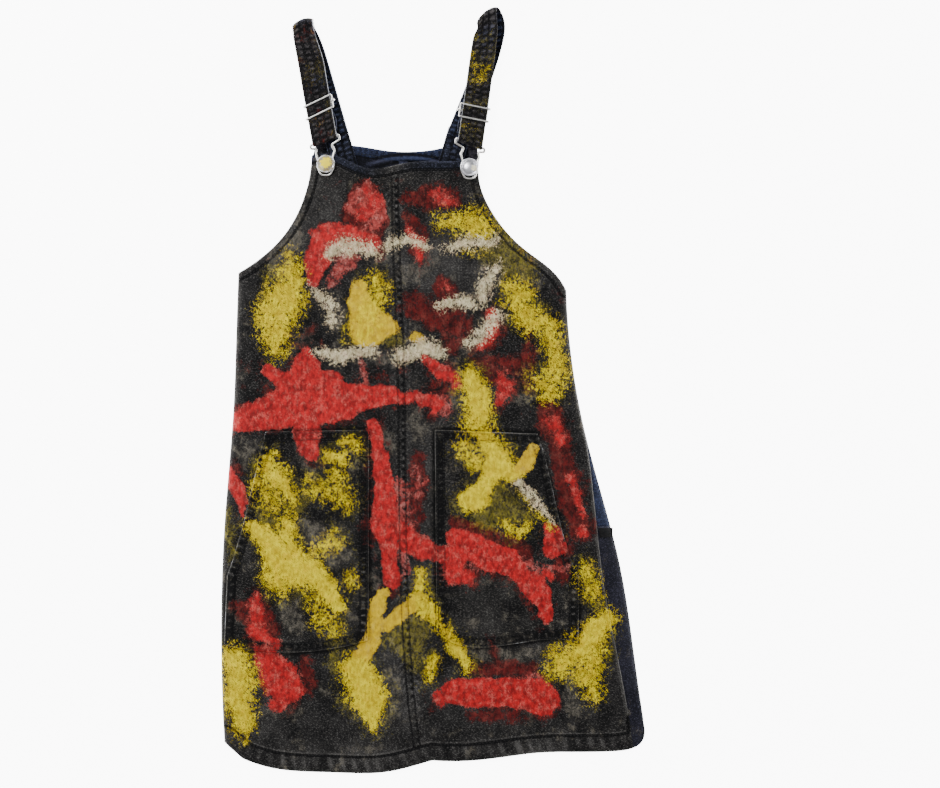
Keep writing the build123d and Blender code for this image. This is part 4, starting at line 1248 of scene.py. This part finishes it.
def strap(side_name):
    """One strap, from its fold round the hook bar, over the shoulder fold and down to the back neck."""
    is_left = side_name == "left"
    inner = 1 if is_left else -1
    body = f"strap_{side_name}"
    ends = lambda points: sorted(points, key=lambda p: p[0] * inner)  # as (outer, inner)
    corners = sorted(top_loop(body), key=lambda p: p[1])
    (bottom_out, bottom_in), (top_out, top_in) = ends(corners[:2]), ends(corners[-2:])
    low, high = box_mm(body)
    top_z, back_level = high.z - STRAP_T / 2, low.z + STRAP_T / 2
    joint = next(j for j in frame["joints"] if j["name"] == f"{body}_flip")
    bar_z = joint["pos_m"][2] / MM
    hemward = -left_of(unit(bottom_in - bottom_out)) * inner
    reach = top_z - bar_z
    under_z = bar_z - reach
    up_out, up_in = unit(top_out - bottom_out), unit(top_in - bottom_in)
    slider_at = np.array((sum(box_mm(f"adjuster_{side_name}"), Vector()) / 2)[:2])
    run = np.hypot(*(top_out - bottom_out))
    fold_across = unit(top_in - top_out)
    away = left_of(fold_across) * inner

    def near_fold(a, b, d):
        """Edge points drawn in, and the crown, d from the fold at the top of the strap."""
        lean = math.exp(-((d / 10) ** 2))
        narrow = 4.2 * (1 - float(smooth(d, 0, 46)))
        squeeze = fold_across * (1.6 * lean)
        if is_left:
            a, b = a - away * (5.0 * lean), b - fold_across * narrow
        else:
            a, b = a + fold_across * (narrow * 0.3) + away * (4.5 * lean), b - squeeze - away * (3.0 * lean)
        return a + squeeze, b, away * (3.2 * lean)

    path = [(bottom_out + up_out * d, bottom_in + up_in * d, under_z) for d in np.linspace(STUB, 0.4, 5)]
    for angle in np.radians(np.linspace(-90, 90, 11)):
        shift = hemward * (reach * math.cos(angle))
        path.append((bottom_out + shift, bottom_in + shift, bar_z + reach * math.sin(angle)))
    for t in np.linspace(0, 1, int(run / 1.2))[1:-1]:
        a, b = bottom_out + (top_out - bottom_out) * t, bottom_in + (top_in - bottom_in) * t
        from_slider = np.hypot(*((a + b) / 2 - slider_at))
        hump = 0.85 * math.exp(-((from_slider / 3.4) ** 2))
        wave = 0.1 * math.sin(math.pi * t) * bumps(np.array([t * 130.0]), np.array([3.0 * inner]), 30, 59)[0]
        bow = fold_across * (0.3 * float(smooth(t, 0.42, 0.66) * (1 - smooth(t, 0.72, 1.0))))
        a, b, crown = near_fold(a + bow, b + bow, (1 - t) * run)
        path.append((a, b, top_z + hump + wave * min(1.0, from_slider / 14), crown))
    radius = (top_z - back_level) / 2
    bulge = fold_across * (0.0 if is_left else 10.0)  # the right strap's back run swings out
    for angle in np.radians(np.linspace(90, -90, 19)):
        shift = away * (radius * math.cos(angle)) - bulge * (0.25 - 0.25 * math.sin(angle))
        a, b, crown = near_fold(top_out + shift, top_in + shift, 0.0)
        path.append((a, b, back_level + radius + radius * math.sin(angle), crown))
    anchor = sorted(top_loop(f"strap_anchor_{side_name}"), key=lambda p: p[1])
    down = unit((anchor[2] + anchor[3]) / 2 - (top_out + top_in) / 2)
    length_out = ((bottom_out - top_out) @ hemward - BAR_CLEAR) / (down @ hemward)
    length_in = ((bottom_in - top_in) @ hemward - BAR_CLEAR) / (down @ hemward)
    for t in np.linspace(0, 1, 90)[1:]:
        d = t * (length_out + length_in) / 2
        aside = -bulge * math.sin(math.pi * (1 / 6 + 5 / 6 * t**0.7))
        plain_a, plain_b = top_out + down * length_out * t, top_in + down * length_in * t
        a, b, crown = near_fold(plain_a, plain_b, d)
        lean = math.exp(-d / 14)
        a, b = plain_a + (a - plain_a) * lean + aside, plain_b + (b - plain_b) * lean + aside
        path.append((a, b, back_level - 0.1 * math.sin(math.pi * t), crown))
    front_length = STUB + math.pi * reach + run

    def navy(u, v):
        patch = smooth(bumps(u + 50, v, 17, 83 + inner), 0.0, 0.6) * 0.4
        return np.clip(0.12 + patch + 0.85 * smooth(v, front_length, front_length + 14), 0, 1)

    def paint(u, v, face):
        on_front = (1 - smooth(v, front_length - 2, front_length + 6)) * face
        blob = smooth(bumps(u, v, 14, 86), -0.25, 0.5)
        if is_left:
            haze = 0.2 + 0.12 * smooth(v, 60, 100) + 0.24 * bumps(u, v, 13, 84)
            olive = 0.06 + 0.3 * blob + 0.12 * smooth(u, 2.0, 8.0)
            levels = {"maroon": haze, "olive": olive}
        else:
            upper = smooth(v, 66, 76) * (1 - smooth(v, 118, 132))
            lower = smooth(v, 6, 16) * (1 - smooth(v, 24, 34)) + smooth(v, 40, 50) * (1 - smooth(v, 58, 66))
            painted = np.maximum(upper, lower)
            yellow = 0.34 * blob * painted * (1 - 0.5 * smooth(np.abs(u), 6, 12))
            levels = {"yellow": yellow, "olive": 0.12 + 0.3 * blob * (0.4 + 0.6 * painted) + 0.24 * painted}
        return {kind: np.clip(level * on_front, 0, 1) for kind, level in levels.items()}

    web, lines = ribbon(body, path, inner, body, 2 if is_left else 5, navy, paint, fray=(0.5, 1.5))
    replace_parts(web, body)
    ribbon_stitches(f"strap_stitches_{side_name}", lines, body, 96)

    # the under layer, from the fold at the hook to the slider's centre bar, which it wraps
    tail_z = sum(corner.z for corner in box_mm(f"strap_tail_{side_name}")) / 2
    tail = top_loop(f"strap_tail_{side_name}")
    halves = tail[tail[:, 0] < tail[:, 0].mean()], tail[tail[:, 0] > tail[:, 0].mean()]
    end_out, end_in = ends([half[half[:, 1].argmax()] for half in halves])
    ahead = left_of(unit(end_in - end_out)) * inner
    start_out, start_in = bottom_out + up_out * (STUB + 0.3), bottom_in + up_in * (STUB + 0.3)
    path = []
    for t in np.linspace(0, 1, 22):
        peek = unit(start_in - start_out) * (2.6 * math.sin(math.pi * min(1.0, t * 1.15 + 0.1)))
        a, b = start_out + (end_out - start_out) * t + peek * 0.6, start_in + (end_in - start_in) * t + peek
        path.append((a, b, under_z + (tail_z + WRAP - under_z) * t * t * (3 - 2 * t)))
    for angle in np.radians(np.linspace(75, -90, 12)):
        shift = ahead * (WRAP * math.cos(angle))
        path.append((end_out + shift, end_in + shift, tail_z + WRAP * math.sin(angle)))
    path += [(end_out - ahead * d, end_in - ahead * d, tail_z - WRAP) for d in (1.5, 3.0, 4.5, 6.0)]
    under, _ = ribbon(f"strap_under_{side_name}", path, inner, None, 7, 0.8, None, 1.3, 17, (1.1, 1.1))
    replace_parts(under, f"strap_tail_{side_name}")
    begin, finish = (start_out + start_in) / 2, (end_out + end_in) / 2
    start, end = ((*((begin + (finish - begin) * share) * MM), under_z * MM) for share in (0.04, 0.72))
    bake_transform(under)

    # the sewn end on the back neck
    cut_out, cut_in = top_out + down * (length_out - ANCHOR_LAP), top_in + down * (length_in - ANCHOR_LAP)
    foot_out, foot_in = ends(anchor[:2])
    path = [
        (cut_out + (foot_out - cut_out) * t, cut_in + (foot_in - cut_in) * t, back_level - ANCHOR_DROP)
        for t in np.linspace(0, 1, 30)
    ]
    name = f"strap_anchor_{side_name}"
    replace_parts(ribbon(name, path, inner, "garment", 8, 0.8, None, 1.4, 17)[0], name)


strap("left")
strap("right")


# ---- metalwork ----
CAP_STEPS = 72
SHANK = 3.4  # radius of the button's shank
CAP_SPOTS = {
    # dried paint on each cap: colour, how far from its middle, and reach
    "left": (
        ((150, 136, 96), (0, 0), 8.4), ((206, 196, 150), (-4.5, -3.0), 3.6), ((255, 230, 0), (-0.5, 1.2), 5.6),
    ),
    "right": (((236, 228, 200), (5, -1), 3.2),),
}


def cap(side_name):
    """A button cap turned from its profile: (radius, height) from underneath to the middle of the top."""
    name = f"button_cap_{side_name}"
    low, high = box_mm(name)
    cx, cy = (low.x + high.x) / 2, (low.y + high.y) / 2
    radius, rim = (high.x - low.x) / 2, high.z - 3.8
    profile = [(1.4, low.z), (SHANK - 0.3, low.z), (SHANK, low.z + 0.3), (SHANK, rim - 0.4), (SHANK + 0.5, rim)]
    profile += [(radius - 1.6, rim + 0.1), (radius - 0.7, rim + 0.15)]
    for a in np.radians(np.linspace(-80, 90, 9)):
        profile.append((radius - 0.8 + 0.8 * math.cos(a), rim + 0.95 + 0.8 * math.sin(a)))
    profile += [(radius - 1.2, rim + 1.68), (radius - 1.7, rim + 1.4), (radius - 2.1, rim + 1.45)]
    crown = high.z - 0.1
    for a in np.radians(90 * np.arange(12) / 12):
        profile.append(((radius - 2.3) * math.cos(a), rim + 1.6 + (crown - rim - 1.6) * math.sin(a) ** 1.2))
    profile.append((0.05, crown))
    turn = 2 * math.pi * np.arange(CAP_STEPS) / CAP_STEPS
    rings = [np.column_stack([cx + r * np.cos(turn), cy + r * np.sin(turn), np.full(CAP_STEPS, z)]) for r, z in profile]
    spots = [
        (srgb(*tone), ((cx + dx) * MM, (cy + dy) * MM), reach * MM)
        for tone, (dx, dy), reach in CAP_SPOTS[side_name]
    ]
    material = painted_cap(f"cap_metal_{side_name}", srgb(214, 214, 220), spots)
    faces = tube_faces(len(profile), CAP_STEPS)
    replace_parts(mesh_object(name, np.vstack(rings), faces, material, f"button_{side_name}"), name)


for side_name in SIDES:
    cap(side_name)
    for node, key in (("hook", "wire"), ("adjuster", "wire"), ("adjuster_bar", "wire"), ("tack", "tack")):
        mesh = frame["nodes"][f"{node}_{side_name}"].data
        mesh.materials.clear()
        mesh.materials.append(M[key])

# the small folded tab in the side seam, left blank
TAB_RINGS = 13
low, high = box_mm("side_tab")
tab_x = np.linspace(low.x, high.x, TAB_RINGS)
tab_y = (low.y + high.y) / 2
edge_x = np.interp(tab_y, right_edge[:, 1], right_edge[:, 0])
tab_z = front_height(np.minimum(tab_x, edge_x - 0.5), np.full(TAB_RINGS, tab_y), False)[0] + 1.1
corners = [(high.y, 0.6), (low.y, 0.6), (low.y, 0), (high.y, 0)]
verts = np.stack([np.column_stack([tab_x, np.full(TAB_RINGS, y), tab_z + up]) for y, up in corners], 1).reshape(-1, 3)
tab = mesh_object("side_tab", verts, tube_faces(TAB_RINGS, 4), M["tab"], "garment")
add_looks(tab, in_cloth(verts), 0.1)
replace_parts(tab, "side_tab")
declare(tab, half_skin(tab), high.y - low.y)


# ---- camera, light, floor ----
def place_in_scene(name, data, place=(0, 0, 0)):
    obj = bpy.data.objects.new(name, data)
    obj.location = place
    bpy.context.scene.collection.objects.link(obj)
    return obj


for name, place, size, power in (("key", (-0.9, 0.9, 2.2), 0.9, 58), ("fill", (1.3, -0.3, 1.6), 1.6, 8)):
    lamp = bpy.data.lights.new(name, "AREA")
    lamp.shape, lamp.size, lamp.energy = "DISK", size, power
    light = place_in_scene(name, lamp, place)
    light.rotation_euler = (-Vector(place)).to_track_quat("-Z", "Y").to_euler()
world = bpy.data.worlds.new("studio")
world.use_nodes = True
world.node_tree.nodes["Background"].inputs[0].default_value = (1, 1, 1, 1)
world.node_tree.nodes["Background"].inputs[1].default_value = 0.5
bpy.context.scene.world = world
floor_mesh = bpy.data.meshes.new("floor")
floor_mesh.from_pydata([(-60, -60, 0), (60, -60, 0), (60, 60, 0), (-60, 60, 0)], [], [(0, 1, 2, 3)])
paper = Graph("floor_paper")
paper.set(Base_Color=(0.9, 0.9, 0.9, 1), Roughness=0.9, Emission_Color=(1, 1, 1, 1), Emission_Strength=9.0)
floor_mesh.materials.append(paper.material)
place_in_scene("floor", floor_mesh, (0, 0, -0.0004))

LENS, SENSOR, WIDE = 70.0, 36.0, 0.940  # millimetres, and metres across the picture
camera_data = bpy.data.cameras.new("camera")
camera_data.lens, camera_data.sensor_width = LENS, SENSOR
bpy.context.scene.camera = place_in_scene("camera", camera_data, (0.037, -0.0025, 0.010 + WIDE * LENS / SENSOR))
